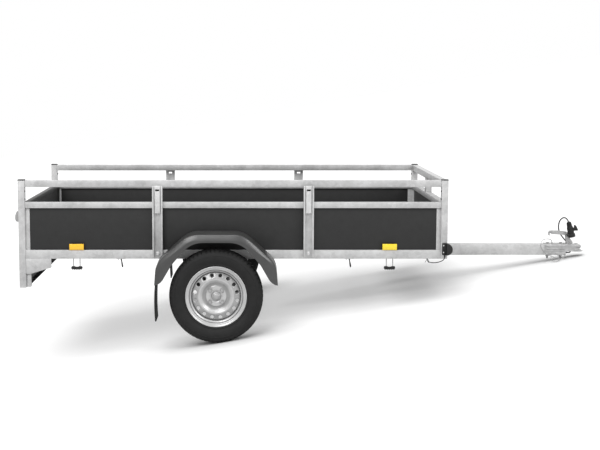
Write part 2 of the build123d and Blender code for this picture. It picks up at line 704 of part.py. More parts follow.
board_z = (BOARD_LOW + BOARD_HIGH) / 2
board_half = post_inner - BOARD_CHANNEL
with BuildPart() as light_board:
    with BuildSketch(along_y(board_half)) as pan:
        with Locations((board_rear + BOARD_DEPTH / 2, board_z)):
            Rectangle(BOARD_DEPTH, BOARD_HIGH - BOARD_LOW)
        with Locations((board_rear + BOARD_DEPTH / 2 + BOARD_STEEL, board_z)):
            Rectangle(BOARD_DEPTH, BOARD_HIGH - BOARD_LOW - 2 * BOARD_STEEL, mode=Mode.SUBTRACT)
    extrude(pan.sketch, amount=2 * board_half)
finish(light_board, "light_board")

board_x = board_rear + BOARD_DEPTH
with BuildPart() as board_ends:
    for side in SIDES:
        near, far = outward(side, board_half, post_inner)
        block((board_rear, near, BOARD_LOW), (board_x, far, BOARD_HIGH))
        near, far = outward(side, board_half, post_inner + BOARD_END)
        block((rails_rear, near, REAR_POST_FOOT + BOARD_CHANNEL), (board_x, far, SILL_LOW - GUSSET_HEIGHT))
        near, far = outward(side, post_inner, post_inner + BOARD_END - BOARD_CHANNEL)
        block((rails_rear + BOARD_CHANNEL, near, 0), (board_x, far, SILL_LOW), mode=Mode.SUBTRACT)
finish(board_ends, "board_ends")

with BuildPart() as rear_lamps:
    for side in SIDES:
        with Locations((board_rear - LAMP_DEPTH / 2, side * LAMP_Y, board_z)):
            Box(LAMP_DEPTH, LAMP_LENGTH, LAMP_HEIGHT)
    chamfer(rear_lamps.faces().filter_by(Axis.X).sort_by(Axis.X)[:2].edges(), length=LAMP_ROUND)
finish(rear_lamps, "rear_lamps")

with BuildPart() as rear_reflectors:
    with BuildSketch(along_x(board_rear)) as triangles:
        with Locations(*[(side * TRIANGLE_Y, board_z) for side in SIDES]):
            Triangle(a=TRIANGLE_SIDE, b=TRIANGLE_SIDE, c=TRIANGLE_SIDE, align=Align.CENTER)
    extrude(triangles.sketch, amount=-TRIANGLE_THICK)
finish(rear_reflectors, "rear_reflectors")

gusset_step = 0.42 * GUSSET_HEIGHT
with BuildPart() as gussets:
    for side in SIDES:
        with BuildSketch(along_y(side * rail_outer)) as plate:
            with BuildLine():
                foot = SILL_LOW - GUSSET_HEIGHT
                end = rails_rear + GUSSET_LENGTH
                Polyline((rails_rear, SILL_LOW), (rails_rear, foot), (rails_rear + PANEL_CHANNEL, foot),
                         (end, foot + gusset_step), (end, SILL_LOW), close=True)
            make_face()
        extrude(plate.sketch, amount=side * GUSSET_STEEL)
finish(gussets, "gussets")

# ---- lamps, reflectors, lashing points ----

with BuildPart() as side_reflectors:
    for side in SIDES:
        for end in SIDES:
            with Locations((bed_middle + end * REFLECTOR_SPREAD, side * (rail_outer + REFLECTOR_THICK / 2),
                            sill_top + REFLECTOR_HEIGHT / 2)):
                Box(REFLECTOR_LENGTH, REFLECTOR_THICK, REFLECTOR_HEIGHT)
finish(side_reflectors, "side_reflectors")

# each marker lamp is a base plate on the front post and a D-shaped body that stands out past it
marker_z = MARKER_LOW + MARKER_RADIUS
marker_x = bed_front - MARKER_REAR + 2 * MARKER_PLATE + PANEL_THICK / 2
with BuildPart() as marker_lamps:
    for side in SIDES:
        with BuildSketch(along_y(side * half_width)) as base:
            with Locations((marker_x, marker_z)):
                Circle(MARKER_RADIUS)
            with Locations(((bed_front - MARKER_REAR + marker_x) / 2, marker_z)):
                Rectangle(marker_x - bed_front + MARKER_REAR, 2 * MARKER_RADIUS)
        extrude(base.sketch, amount=-side * MARKER_PLATE)
        with BuildSketch(along_y(side * (half_width + MARKER_PLATE))) as body:
            with Locations((marker_x, marker_z)):
                Circle(MARKER_RADIUS)
            with Locations((marker_x - MARKER_RADIUS / 4, marker_z)):
                Rectangle(MARKER_RADIUS / 2, 2 * MARKER_RADIUS)
            with Locations((marker_x - MARKER_RADIUS, marker_z)):
                Rectangle(MARKER_RADIUS, 2 * MARKER_RADIUS, mode=Mode.SUBTRACT)
        extrude(body.sketch, amount=-side * (MARKER_DEPTH - MARKER_PLATE))
finish(marker_lamps, "marker_lamps")

# lashing loops: two rods under the sill that end in a grip
loop_y = rail_y - LOOP_ROD * 4
grip_top = SILL_LOW - LOOP_DROP
with BuildPart() as lashing_brackets:
    for side in SIDES:
        for end in SIDES:
            x = bed_middle + end * (REFLECTOR_SPREAD + GUARD_SKIN)
            with BuildSketch(Plane.XY.offset(grip_top)) as rods:
                with Locations((x - LOOP_SPREAD / 2, side * loop_y), (x + LOOP_SPREAD / 2, side * loop_y)):
                    RegularPolygon(LOOP_ROD, ROUND)
            extrude(rods.sketch, amount=LOOP_DROP)
            with BuildSketch(along_y(side * loop_y)) as grip:
                with Locations((x, grip_top - GRIP_HEIGHT / 2)):
                    Rectangle(GRIP_LENGTH, GRIP_HEIGHT)
                    chamfer(grip.vertices(), length=GRIP_HEIGHT / 4)
            extrude(grip.sketch, amount=GRIP_THICK / 2, both=True)
finish(lashing_brackets, "lashing_brackets")

# hooks for a net: a plate under the sill and a rod that leans forward
with BuildPart() as rope_hooks:
    for side in SIDES:
        for from_middle in HOOK_SETS:
            x = bed_middle + from_middle
            with Locations((x, side * rail_y, SILL_LOW - HOOK_PLATE_THICK / 2)):
                Box(HOOK_PLATE, RAIL / 2, HOOK_PLATE_THICK)
            top = Vector(x, side * rail_y, SILL_LOW - HOOK_PLATE_THICK)
            down = Vector(sin(radians(HOOK_LEAN)), 0, -cos(radians(HOOK_LEAN)))
            with BuildSketch(Plane(origin=top - down, z_dir=down)) as rod:
                RegularPolygon(HOOK_ROD, ROUND)
            extrude(rod.sketch, amount=HOOK_DROP)
finish(rope_hooks, "rope_hooks")

# latch levers on the rear posts: a plate and a bowed lever
latch_low = LATCH_HIGH - LATCH_HEIGHT
with BuildPart() as gate_latches:
    for side in SIDES:
        with BuildSketch(along_y(side * post_y)) as lever:
            with BuildLine():
                plate = BED_REAR - LATCH_PLATE
                Polyline((BED_REAR, LATCH_HIGH), (plate, LATCH_HIGH), (plate, LATCH_HIGH - LATCH_PLATE * 2),
                         (BED_REAR - LATCH_BELLY * 0.8, LATCH_HIGH - LATCH_HEIGHT * 0.3),
                         (BED_REAR - LATCH_BELLY, LATCH_HIGH - LATCH_HEIGHT * 0.55),
                         (BED_REAR - LATCH_BELLY, latch_low + LATCH_PLATE * 4),
                         (BED_REAR - LATCH_BELLY / 2, latch_low), (BED_REAR, latch_low), close=True)
            make_face()
        extrude(lever.sketch, amount=LATCH_WIDTH / 2, both=True)
finish(gate_latches, "gate_latches")

# ---- coupling ----

housing_half = DRAWBAR / 2 + HOUSING_STEEL
housing_top = drawbar_top + HOUSING_STEEL
housing_rear = DRAWBAR_END - HOUSING_LAP
ball_hole = BALL_RADIUS + RUNNING_GAP
with BuildPart() as coupling_head:
    with BuildSketch(Plane.XY.offset(HOUSING_LOW)) as head:
        with Locations(((housing_rear + ball_x) / 2, 0)):
            Rectangle(ball_x - housing_rear, 2 * housing_half)
        with Locations((ball_x, 0)):
            RegularPolygon(housing_half, 2 * ROUND)
    extrude(head.sketch, amount=housing_top - HOUSING_LOW)
    top_edges = coupling_head.faces().sort_by(Axis.Z)[-1].edges()
    chamfer(top_edges.sort_by(Axis.X)[1:], length=HOUSING_ROUND)
    block((housing_rear - 1, -DRAWBAR / 2, HOUSING_LOW - 1), (DRAWBAR_END, DRAWBAR / 2, drawbar_top),
          mode=Mode.SUBTRACT)
    with BuildSketch(Plane.XY.offset(HOUSING_LOW)) as skirt:
        with Locations((ball_x, 0)):
            RegularPolygon(housing_half + SKIRT_STEP, 2 * ROUND)
        with Locations((ball_x - housing_half, 0)):
            Rectangle(2 * housing_half, 4 * housing_half, mode=Mode.SUBTRACT)
    extrude(skirt.sketch, amount=HOUSING_STEEL)
    with BuildSketch(along_y(0)) as socket:
        with BuildLine():
            roof = BALL_Z + 0.8 * BALL_RADIUS
            Polyline((ball_x, HOUSING_LOW - 1), (ball_x + ball_hole, HOUSING_LOW - 1),
                     (ball_x + ball_hole, BALL_Z), (ball_x + 0.6 * BALL_RADIUS, roof), (ball_x, roof),
                     close=True)
        make_face()
    revolve(socket.sketch, axis=Axis((ball_x, 0, 0), (0, 0, 1)), mode=Mode.SUBTRACT)
    bolt_holes(drawbar_top - 1, HOUSING_STEEL + 2)
finish(coupling_head, "coupling_head")

with BuildPart() as coupling_bolts:
    for radius, sides, low, high in ((BOLT_RADIUS, ROUND, BOLT_TIP, housing_top),
                                     (BOLT_HEAD, 6, housing_top, housing_top + HEAD_HEIGHT),
                                     (BOLT_HEAD, 6, drawbar_low - NUT_HEIGHT, drawbar_low)):
        with BuildSketch(Plane.XY.offset(low)) as section:
            with Locations(*[(x, 0) for x in bolt_x]):
                RegularPolygon(radius, sides)
        extrude(section.sketch, amount=high - low)
finish(coupling_bolts, "coupling_bolts")

handle_top = housing_top + HANDLE_RISE
grip_back = ball_x - HANDLE_LENGTH
strut_front = ball_x - STRUT_FRONT
strut_back = strut_front - STRUT_WIDTH
with BuildPart() as coupling_handle:
    with BuildSketch(along_y(0)) as lever:
        with BuildLine():
            Polyline((grip_back, handle_top - GRIP_HOOK), (grip_back, handle_top - GRIP_DEPTH / 2),
                     (grip_back + GRIP_DEPTH / 2, handle_top),
                     (strut_front - GRIP_DEPTH, handle_top - GRIP_DEPTH / 4),
                     (strut_front - GRIP_DEPTH / 2, handle_top - 1.6 * GRIP_DEPTH),
                     (strut_front, housing_top), (strut_back, housing_top),
                     (strut_back - GRIP_DEPTH / 4, handle_top - 1.2 * GRIP_DEPTH),
                     (grip_back + 0.9 * GRIP_DEPTH, handle_top - GRIP_DEPTH),
                     (grip_back + GRIP_DEPTH / 2, handle_top - GRIP_HOOK), close=True)
        make_face()
    extrude(lever.sketch, amount=HANDLE_WIDTH / 2, both=True)
    block((strut_front - GRIP_DEPTH / 2, -HANDLE_WIDTH / 2, housing_top),
          (strut_front + GRIP_DEPTH / 2, HANDLE_WIDTH / 2, housing_top + LUG_HEIGHT))
finish(coupling_handle, "coupling_handle")

# the parked plug stands in a dummy socket at the near side of the coupling
plug_up = Vector(ELECTRIC_ROUTE[-1]) - Vector(PLUG_FACE)
plug_plane = Plane(origin=PLUG_FACE, x_dir=(0, 1, 0), z_dir=plug_up)
plug_length = plug_up.length
with BuildPart() as plug:
    for radius, low, high in ((PLUG_COLLAR, 0.0, PLUG_COLLAR_SHARE),
                              (PLUG_RADIUS, PLUG_COLLAR_SHARE, PLUG_BODY_SHARE)):
        with BuildSketch(plug_plane.offset(low * plug_length)) as section:
            RegularPolygon(radius, ROUND)
        extrude(section.sketch, amount=(high - low) * plug_length)
    tail_length = (1 - PLUG_BODY_SHARE) * plug_length
    with BuildSketch(plug_plane.offset(PLUG_BODY_SHARE * plug_length)) as section:
        RegularPolygon(PLUG_RADIUS, ROUND)
    slope = degrees(atan2(PLUG_RADIUS - PLUG_TAIL, tail_length))
    extrude(section.sketch, amount=tail_length, taper=slope)
finish(plug, "plug")

seat_plane = plug_plane.offset(-SEAT_DEPTH)
with BuildPart() as plug_seat:
    with BuildSketch(seat_plane) as disc:
        RegularPolygon(SEAT_RADIUS, ROUND)
    extrude(disc.sketch, amount=SEAT_DEPTH)
    block((strut_back + 8, PLUG_FACE[1], seat_plane.origin.Z - 6),
          (strut_front + 8, -HANDLE_WIDTH / 2, seat_plane.origin.Z - 2))
finish(plug_seat, "plug_seat")

# ---- cables ----


def cable(points, diameter):
    """Add a plain tube along straight runs joined by arcs as large as the runs allow."""
    corners = [Vector(*point) for point in points]
    runs = [b - a for a, b in zip(corners, corners[1:])]
    radii = [ARC_SHARE * min(a.length, b.length) / tan(radians(a.get_angle(b)) / 2)
             for a, b in zip(runs, runs[1:])]
    with BuildLine() as route:
        FilletPolyline(*corners, radius=radii)
    with BuildSketch(Plane(origin=corners[0], z_dir=runs[0])) as section:
        RegularPolygon(diameter / 2, 6)
    sweep(section.sketch, path=route.wire())
    print("cable radii", [round(radius) for radius in radii], "length", round(route.wire().length, 1))


with BuildPart() as electric_cable:
    cable(ELECTRIC_ROUTE, ELECTRIC_DIAMETER)
finish(electric_cable, "electric_cable")

with BuildPart() as safety_cable:
    cable(SAFETY_ROUTE, SAFETY_DIAMETER)
finish(safety_cable, "safety_cable")

with BuildPart() as safety_loop:
    cable(LOOP_ROUTE, SAFETY_DIAMETER)
finish(safety_loop, "safety_loop")

with BuildPart() as marker_cable:
    cable(MARKER_ROUTE, MARKER_DIAMETER)
finish(marker_cable, "marker_cable")

# ---- tailgate ----

gate_half = post_inner - GATE_GAP
gate_high = mid_rail_top
gate_middle = (gate_rear + gate_front) / 2
with BuildPart() as tailgate_frame:
    with BuildSketch(along_x(gate_rear)) as ring:
        with Locations((0, (GATE_LOW + gate_high) / 2)):
            Rectangle(2 * gate_half, gate_high - GATE_LOW)
            Rectangle(2 * (gate_half - GATE_FRAME), gate_high - GATE_LOW - 2 * GATE_FRAME,
                      mode=Mode.SUBTRACT)
    extrude(ring.sketch, amount=GATE_THICK)
    with Locations((gate_middle, 0, (GATE_LOW + gate_high) / 2)):
        Box(GATE_BOARD, 2 * (gate_half - CHANNEL_SKIN), gate_high - GATE_LOW - 2 * CHANNEL_SKIN,
            mode=Mode.SUBTRACT)
finish(tailgate_frame, "tailgate_frame")

with BuildPart() as tailgate_board:
    with Locations((gate_middle, 0, (GATE_LOW + gate_high) / 2)):
        Box(GATE_BOARD, 2 * (gate_half - CHANNEL_SKIN), gate_high - GATE_LOW - 2 * CHANNEL_SKIN)
finish(tailgate_board, "tailgate_board")


pin_bore = (PIN_RADIUS + RUNNING_GAP) / cos(radians(180 / ROUND))


def knuckle(centre, half, radius, mode=Mode.ADD):
    """Add a round bar about the hinge line that reaches this far to each side of a place."""
    with BuildSketch(along_y(centre)) as ring:
        with Locations((hinge_x, hinge_z)):
            RegularPolygon(radius, ROUND)
    extrude(ring.sketch, amount=half, both=True, mode=mode)


with BuildPart() as gate_hinges:
    for side in SIDES:
        centre = side * HINGE_Y
        half = KNUCKLE / 2 - KNUCKLE_GAP
        block((gate_rear - LEAF, centre - half, hinge_z),
              (gate_rear, centre + half, GATE_LOW + HINGE_LEAF_HIGH))
        block((hinge_x, centre - half, hinge_z), (gate_rear, centre + half, hinge_z + LEAF))
        knuckle(centre, half, HINGE_RADIUS)
        knuckle(centre, KNUCKLE, pin_bore, mode=Mode.SUBTRACT)
finish(gate_hinges, "gate_hinges")

with BuildPart() as hinge_brackets:
    for side in SIDES:
        centre = side * HINGE_Y
        for edge in SIDES:
            near, far = sorted((centre + edge * KNUCKLE / 2, centre + edge * 1.5 * KNUCKLE))
            block((hinge_x, near, SILL_LOW - LEAF), (floor_rear + BRACKET_REACH, far, SILL_LOW))
            knuckle((near + far) / 2, KNUCKLE / 2, HINGE_RADIUS)
        knuckle(centre, KNUCKLE, PIN_RADIUS)
finish(hinge_brackets, "hinge_brackets")

# ---- parked: turned nose-down until the front coupling bolt meets the ground ----

tip_x = bolt_x[-1] + BOLT_RADIUS
tip_z = BOLT_TIP - TYRE_RADIUS
nose_down = degrees(asin(TYRE_RADIUS / hypot(tip_x, tip_z)) + atan2(tip_z, tip_x))
axle_height = Location((0, 0, TYRE_RADIUS))
on_wheels = axle_height * Location((0, 0, 0), (0, nose_down, 0)) * axle_height.inverse()
boxes = [builder.part.moved(on_wheels).bounding_box() for builder in pieces]
rear_reach = min(box.min.X for box in boxes)
front_reach = max(box.max.X for box in boxes)
parked = Location((-(rear_reach + front_reach) / 2, 0, 0)) * on_wheels

for builder in pieces:
    placed = builder.part.moved(parked)
    placed.label = builder.part.label
    export_step(placed, f"parts/{builder.part.label}.step")
print("nose down", round(nose_down, 3), "degrees, length", round(front_reach - rear_reach, 1))
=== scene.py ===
import json
import math
import random

import bmesh
import bpy
from mathutils import Matrix, Vector

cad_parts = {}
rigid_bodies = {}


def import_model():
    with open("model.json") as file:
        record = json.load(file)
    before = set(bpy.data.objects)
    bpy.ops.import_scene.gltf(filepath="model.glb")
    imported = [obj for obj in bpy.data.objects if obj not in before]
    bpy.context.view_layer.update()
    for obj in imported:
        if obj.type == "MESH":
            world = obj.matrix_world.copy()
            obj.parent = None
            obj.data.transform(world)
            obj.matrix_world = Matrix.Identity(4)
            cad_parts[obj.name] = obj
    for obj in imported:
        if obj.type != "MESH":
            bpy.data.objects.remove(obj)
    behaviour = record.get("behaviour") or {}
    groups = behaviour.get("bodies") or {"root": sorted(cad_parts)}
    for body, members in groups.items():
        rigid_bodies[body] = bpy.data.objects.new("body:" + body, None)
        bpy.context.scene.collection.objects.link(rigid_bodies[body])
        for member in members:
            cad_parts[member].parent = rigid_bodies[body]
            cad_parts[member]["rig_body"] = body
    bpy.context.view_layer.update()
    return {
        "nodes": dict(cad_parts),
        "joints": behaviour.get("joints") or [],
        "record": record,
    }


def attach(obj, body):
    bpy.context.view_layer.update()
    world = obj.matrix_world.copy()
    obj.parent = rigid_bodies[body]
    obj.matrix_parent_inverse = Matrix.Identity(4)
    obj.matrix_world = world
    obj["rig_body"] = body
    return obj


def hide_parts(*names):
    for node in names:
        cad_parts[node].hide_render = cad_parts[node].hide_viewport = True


# Dressing of a single-axle utility trailer.  Every piece is laid out level, in millimetres, with
# x = 0 on the wheel axle, y = 0 on the centre line and z = 0 on the ground under the wheels, and
# LEVEL turns it nose-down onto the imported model, which stands parked.

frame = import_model()
MM = 0.001
SIDES = (-1, 1)
BODY = {-1: "wheel_right", 1: "wheel_left"}
NAME = {-1: "right", 1: "left"}

joints = {joint["name"]: joint for joint in frame["joints"]}
mounts = {mount["name"]: mount for mount in frame["record"]["mounts"]}
TYRE_R = 281
wheel_x, _, wheel_z = joints["wheel_left_spin"]["pos_m"]
floor_axis = mounts["load_floor"]["axis"]
TILT = math.atan2(floor_axis[0], floor_axis[2])
LEVEL = (Matrix.Translation((wheel_x, 0, wheel_z)) @ Matrix.Rotation(TILT, 4, "Y")
         @ Matrix.Translation((0, 0, -TYRE_R * MM)))
LEVEL_MM = LEVEL @ Matrix.Scale(MM, 4)


def linked(thing_name, data):
    """A new object in the scene."""
    thing = bpy.data.objects.new(thing_name, data)
    bpy.context.scene.collection.objects.link(thing)
    return thing


# ---- camera: the photograph's, which sees the bed level ----

CAMERA_AT = (158.1, -8336, 1582.6)
CAMERA_PITCH = 0.1169
camera = linked("camera", bpy.data.cameras.new("camera"))
camera.data.sensor_width = 36
camera.data.lens = 76.2
camera.data.shift_x = 0.0955
camera.data.clip_end = 100
camera.matrix_world = (LEVEL @ Matrix.Translation(Vector(CAMERA_AT) * MM)
                       @ Matrix.Rotation(math.pi / 2 - CAMERA_PITCH, 4, "X"))
bpy.context.scene.camera = camera
bpy.context.scene.view_settings.view_transform = "Standard"

# ---- materials ----

MATERIAL = {}


class Nodes:
    """A node tree under construction."""

    def __init__(self, tree):
        self.tree = tree

    def put(self, socket, value):
        """Link a socket, or set its value; a colour is given as red, green and blue."""
        if isinstance(value, bpy.types.NodeSocket):
            self.tree.links.new(value, socket)
        else:
            socket.default_value = (*value, 1) if socket.type == "RGBA" else value

    def node(self, kind, *first, **named):
        """A node with its first sockets set in order, then its other sockets and settings by name."""
        made = self.tree.nodes.new("ShaderNode" + kind)
        for index, value in enumerate(first):
            self.put(made.inputs[index], value)
        for key, value in named.items():
            if key in made.inputs:
                self.put(made.inputs[key], value)
            else:
                setattr(made, key, value)
        return made

    def maths(self, operation, a, b):
        return self.node("Math", a, b, operation=operation).outputs[0]

    def scaled(self, value, low, high):
        """A 0 to 1 value spread between two numbers."""
        return self.node("MapRange", value, **{"To Min": low, "To Max": high}).outputs["Result"]

    def seen(self):
        """1 on the rays that show a surface: the camera's own, and those mirrored or through glass."""
        rays = self.node("LightPath").outputs
        mirrored = self.maths("MAXIMUM", rays["Is Glossy Ray"], rays["Is Transmission Ray"])
        return self.maths("MAXIMUM", rays["Is Camera Ray"], mirrored)


class Shader(Nodes):
    """A surface material under construction."""

    def __init__(self, name):
        material = MATERIAL[name] = bpy.data.materials.new(name)
        material.use_nodes = True
        super().__init__(material.node_tree)
        self.coords = self.node("TexCoord").outputs["Object"]

    def mapped(self, scale, shift=(0, 0, 0)):
        """The object's coordinates, stretched and then moved."""
        return self.node("Mapping", Vector=self.coords, Scale=scale, Location=shift).outputs["Vector"]

    def noise(self, scale, detail=3, rough=0.5, vector=None):
        named = {"Scale": scale, "Detail": detail, "Roughness": rough}
        return self.node("TexNoise", Vector=vector or self.coords, **named).outputs["Fac"]

    def cells(self, scale, output="Distance"):
        return self.node("TexVoronoi", Vector=self.coords, Scale=scale).outputs[output]

    def flakes(self, scale):
        """A random level for each cell."""
        return self.node("SeparateColor", self.cells(scale, "Color")).outputs["Red"]

    def ramp(self, fac, stops):
        made = self.node("ValToRGB", fac)
        points = made.color_ramp.elements
        while len(points) < len(stops):
            points.new(0.5)
        for point, (at, colour) in zip(points, stops):
            point.position = at
            point.color = (*colour, 1)
        return made.outputs["Color"]

    def greys(self, fac, dark, light, low=0.3, high=0.8):
        """A ramp between two display greys."""
        return self.ramp(fac, [(low, grey(dark)), (high, grey(light))])

    def mix(self, fac, a, b, blend="MIX"):
        made = self.node("Mix", fac, data_type="RGBA", blend_type=blend)
        self.put(made.inputs[6], a)
        self.put(made.inputs[7], b)
        return made.outputs[2]

    def bump(self, height, strength, distance, normal=None):
        named = {"Normal": normal} if normal else {}
        made = self.node("Bump", Height=height, Strength=strength, Distance=distance, **named)
        return made.outputs["Normal"]

    def finish(self, tone, rough, **inputs):
        """Set the surface's colour and roughness, and its other sockets by name."""
        surface = self.tree.nodes["Principled BSDF"].inputs
        self.put(surface["Base Color"], tone)
        self.put(surface["Roughness"], rough)
        for key, value in inputs.items():
            self.put(surface[key.replace("_", " ")], value)


def grey(level):
    """A display grey from 0 to 255 as a linear colour."""
    value = level / 255
    linear = value / 12.92 if value < 0.04045 else ((value + 0.055) / 1.055) ** 2.4
    return (linear, linear, linear)


def dimmed(colour, share):
    return tuple(min(1, value * share) for value in colour)


def galvanised(name, light, dark, metallic):
    """Hot-dip zinc: crystal spangle, cloudy runs, matt patches and a fine pickled grain."""
    s = Shader(name)
    light, dark = grey(light), grey(dark)
    clouds = s.noise(9, 5, 0.6)
    runs = s.noise(14, 3, 0.55, s.mapped((0.25, 1, 1)))
    spangle = s.ramp(s.flakes(55), [(0, dimmed(dark, 0.72)), (1, dimmed(light, 1.2))])
    tone = s.mix(0.16, s.ramp(clouds, [(0.3, dark), (0.72, light)]), spangle)
    tone = s.mix(s.scaled(runs, 0, 0.22), tone, dimmed(dark, 0.78))
    relief = s.bump(s.noise(420, 2), 0.12, 0.0006)
    relief = s.bump(s.noise(38, 3), 0.18, 0.0012, relief)
    s.finish(tone, s.scaled(clouds, 0.38, 0.58), Metallic=metallic, Normal=relief)


def film_faced_boards():
    """The panels' phenolic film, and the floor's with its wire-mesh pattern."""
    s = Shader("film_plywood")
    mottled = s.noise(24, 4, 0.6)
    veins = s.noise(5, 4, 0.65, s.mapped((0.12, 1, 1)))
    tone = s.mix(s.scaled(veins, 0, 0.25), s.greys(mottled, 40, 47, low=0.25), grey(36))
    relief = s.bump(veins, 0.1, 0.0012, s.bump(s.noise(260, 2), 0.1, 0.0004))
    s.finish(tone, s.scaled(mottled, 0.42, 0.55), Specular_IOR_Level=0.28, Normal=relief)

    s = Shader("floor_film")
    wires = [s.node("TexWave", s.coords, Scale=180, Distortion=0, bands_direction=way).outputs["Fac"]
             for way in "XY"]
    weave = s.maths("MAXIMUM", *wires)
    tone = s.greys(s.noise(6, 5, 0.6), 36, 48, high=0.75)
    s.finish(tone, 0.55, Specular_IOR_Level=0.3, Normal=s.bump(weave, 0.25, 0.0006))


def plastics_and_rubber():
    s = Shader("guard_plastic")
    cloud = s.noise(12, 4)
    s.finish(s.greys(cloud, 46, 60), s.scaled(cloud, 0.3, 0.38), Coat_Weight=0.35, Coat_Roughness=0.22,
             Normal=s.bump(s.cells(900), 0.12, 0.0003))

    s = Shader("moulded_black")
    s.finish(s.greys(s.noise(30), 20, 30), s.scaled(s.noise(60), 0.4, 0.55), Specular_IOR_Level=0.35,
             Normal=s.bump(s.noise(700, 2), 0.15, 0.0003))

    s = Shader("flap_rubber")
    fibres = s.noise(120, 4, 0.6)
    s.finish(s.greys(fibres, 26, 38), 0.72, Specular_IOR_Level=0.25, Normal=s.bump(fibres, 0.3, 0.0006))

    s = Shader("tyre_rubber")
    dust = s.noise(18, 5, 0.65)
    s.finish(s.greys(dust, 26, 38, high=0.78), s.scaled(dust, 0.55, 0.72), Specular_IOR_Level=0.22,
             Normal=s.bump(s.noise(420, 2), 0.2, 0.0003))

    s = Shader("cable_sheath")
    s.finish(s.greys(s.noise(80), 18, 28), 0.5, Specular_IOR_Level=0.35,
             Normal=s.bump(s.noise(500), 0.2, 0.0003))


# painted shade in the wheel's pressings and grooves, with painted highlight on the seat and crown: radius
# in metres, how much of the paint's tone stays
WHEEL_PAINTED_SHADE = [
    (0, 0.8), (0.028, 0.7), (0.031, 1), (0.058, 1.04), (0.062, 0.55), (0.08, 0.62), (0.087, 1.06),
    (0.103, 1.06), (0.109, 0.76), (0.142, 0.76), (0.147, 0.45), (0.15, 1), (0.157, 0.9), (0.1595, 0.5),
    (0.162, 1)]
RINGS_REACH = 0.2


def painted_wheel_shade(s):
    """A multiplier of painted shade and highlight that follows the distance from the wheels' axis."""
    centre = LEVEL_MM @ Vector((0, 0, TYRE_R))
    flat = s.mapped((1, 0, 1), (-centre.x, 0, -centre.z))
    away = s.node("VectorMath", flat, operation="LENGTH").outputs["Value"]
    share = s.maths("DIVIDE", away, RINGS_REACH)
    return s.ramp(share, [(radius / RINGS_REACH, (level, level, level)) for radius, level in WHEEL_PAINTED_SHADE])


def metals():
    s = Shader("wheel_silver")
    flake = s.flakes(2600)
    cloud = s.noise(20, 3)
    tone = s.mix(s.scaled(flake, 0, 0.25), s.greys(cloud, 172, 190), grey(214))
    # the wheel paint's tone times its rings of painted shade and highlight
    s.finish(s.mix(1, tone, painted_wheel_shade(s), "MULTIPLY"), s.scaled(cloud, 0.26, 0.34), Metallic=0.18,
             Coat_Weight=0.25, Coat_Roughness=0.15, Normal=s.bump(flake, 0.05, 0.0002))

    s = Shader("zinc_plate")
    stain = s.noise(90, 3)
    tone = s.mix(s.scaled(stain, 0, 0.3), s.greys(s.noise(30, 4, 0.6), 158, 200), grey(128))
    s.finish(tone, s.scaled(stain, 0.25, 0.48), Metallic=0.6, Normal=s.bump(s.noise(300), 0.15, 0.0003))

    s = Shader("dark_steel")
    cloud = s.noise(25, 4)
    s.finish(s.greys(cloud, 48, 64), s.scaled(cloud, 0.4, 0.55), Metallic=0.2,
             Normal=s.bump(s.noise(420), 0.15, 0.0003))

    s = Shader("wire_rope")
    strands = s.noise(600, 2, 0.5, s.mapped((1, 0.4, 1)))
    tone = s.greys(strands, 104, 176, 0.35, 0.65)
    s.finish(tone, 0.35, Metallic=0.5, Normal=s.bump(strands, 0.5, 0.0006))


def lens_finish(name, deep, bright):
    """A moulded lens with prisms of two tones."""
    s = Shader(name)
    prisms = s.cells(420)
    s.finish(s.ramp(prisms, [(0.1, deep), (0.6, bright)]), 0.22, Coat_Weight=0.5, Coat_Roughness=0.05,
             Normal=s.bump(prisms, 0.4, 0.0006))


galvanised("galvanised", 212, 176, 0.35)
galvanised("galvanised_bright", 226, 196, 0.5)
galvanised("galvanised_dull", 180, 142, 0.4)
film_faced_boards()
plastics_and_rubber()
metals()
lens_finish("amber_lens", (1, 0.5, 0.012), (1, 0.6, 0.02))
lens_finish("yellow_lens", (1, 0.68, 0.012), (1, 0.76, 0.03))
lens_finish("red_lens", (0.42, 0.008, 0.008), (0.62, 0.02, 0.016))
lens_finish("clear_lens", (0.66, 0.68, 0.7), (0.86, 0.88, 0.9))

# ---- mesh tools ----


def new_piece(name, bm, material, node=None, angle=35, body="trailer", matrix=LEVEL_MM):
    """Turn a bmesh laid out level into a named piece; edges over an angle in degrees stay sharp."""
    bmesh.ops.recalc_face_normals(bm, faces=bm.faces)
    mesh = bpy.data.meshes.new(name)
    bm.to_mesh(mesh)
    bm.free()
    mesh.transform(matrix)
    for polygon in mesh.polygons:
        polygon.use_smooth = True
    mesh.set_sharp_from_angle(angle=math.radians(angle))
    for one in material if isinstance(material, list) else [material]:
        mesh.materials.append(MATERIAL[one])
    piece = linked(name, mesh)
    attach(piece, body)
    if node:
        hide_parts(node)
    return piece


def bevel(bm, edges, width, segments=2, clamp=False):
    bmesh.ops.bevel(bm, geom=list(edges), offset=width, offset_type="OFFSET", segments=segments,
                    profile=0.5, affect="EDGES", clamp_overlap=clamp)


def soften(node, width, material, name=None):
    """A copy of a CAD node with its sharp edges rounded, in a finish of its own."""
    source = frame["nodes"][node]
    bm = bmesh.new()
    bm.from_mesh(source.data)
    bmesh.ops.remove_doubles(bm, verts=bm.verts, dist=1e-5)
    bmesh.ops.dissolve_limit(bm, angle_limit=math.radians(1), verts=bm.verts, edges=bm.edges)
    sharp = [e for e in bm.edges if len(e.link_faces) == 2 and e.calc_face_angle(0) > math.radians(28)]
    bevel(bm, sharp, width * MM, clamp=True)
    name = name or node + "_steel"
    new_piece(name, bm, material, node, 40, source["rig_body"], Matrix.Identity(4))


def add_box(bm, low, high, width, segments=2, matrix=Matrix.Identity(4)):
    """A box between two corners with rounded edges."""
    size = [b - a for a, b in zip(low, high)]
    centre = [(a + b) / 2 for a, b in zip(low, high)]
    local = Matrix.Translation(centre) @ Matrix.Diagonal((*size, 1))
    made = bmesh.ops.create_cube(bm, size=1, matrix=matrix @ local)
    bevel(bm, {e for v in made["verts"] for e in v.link_edges}, width, segments)


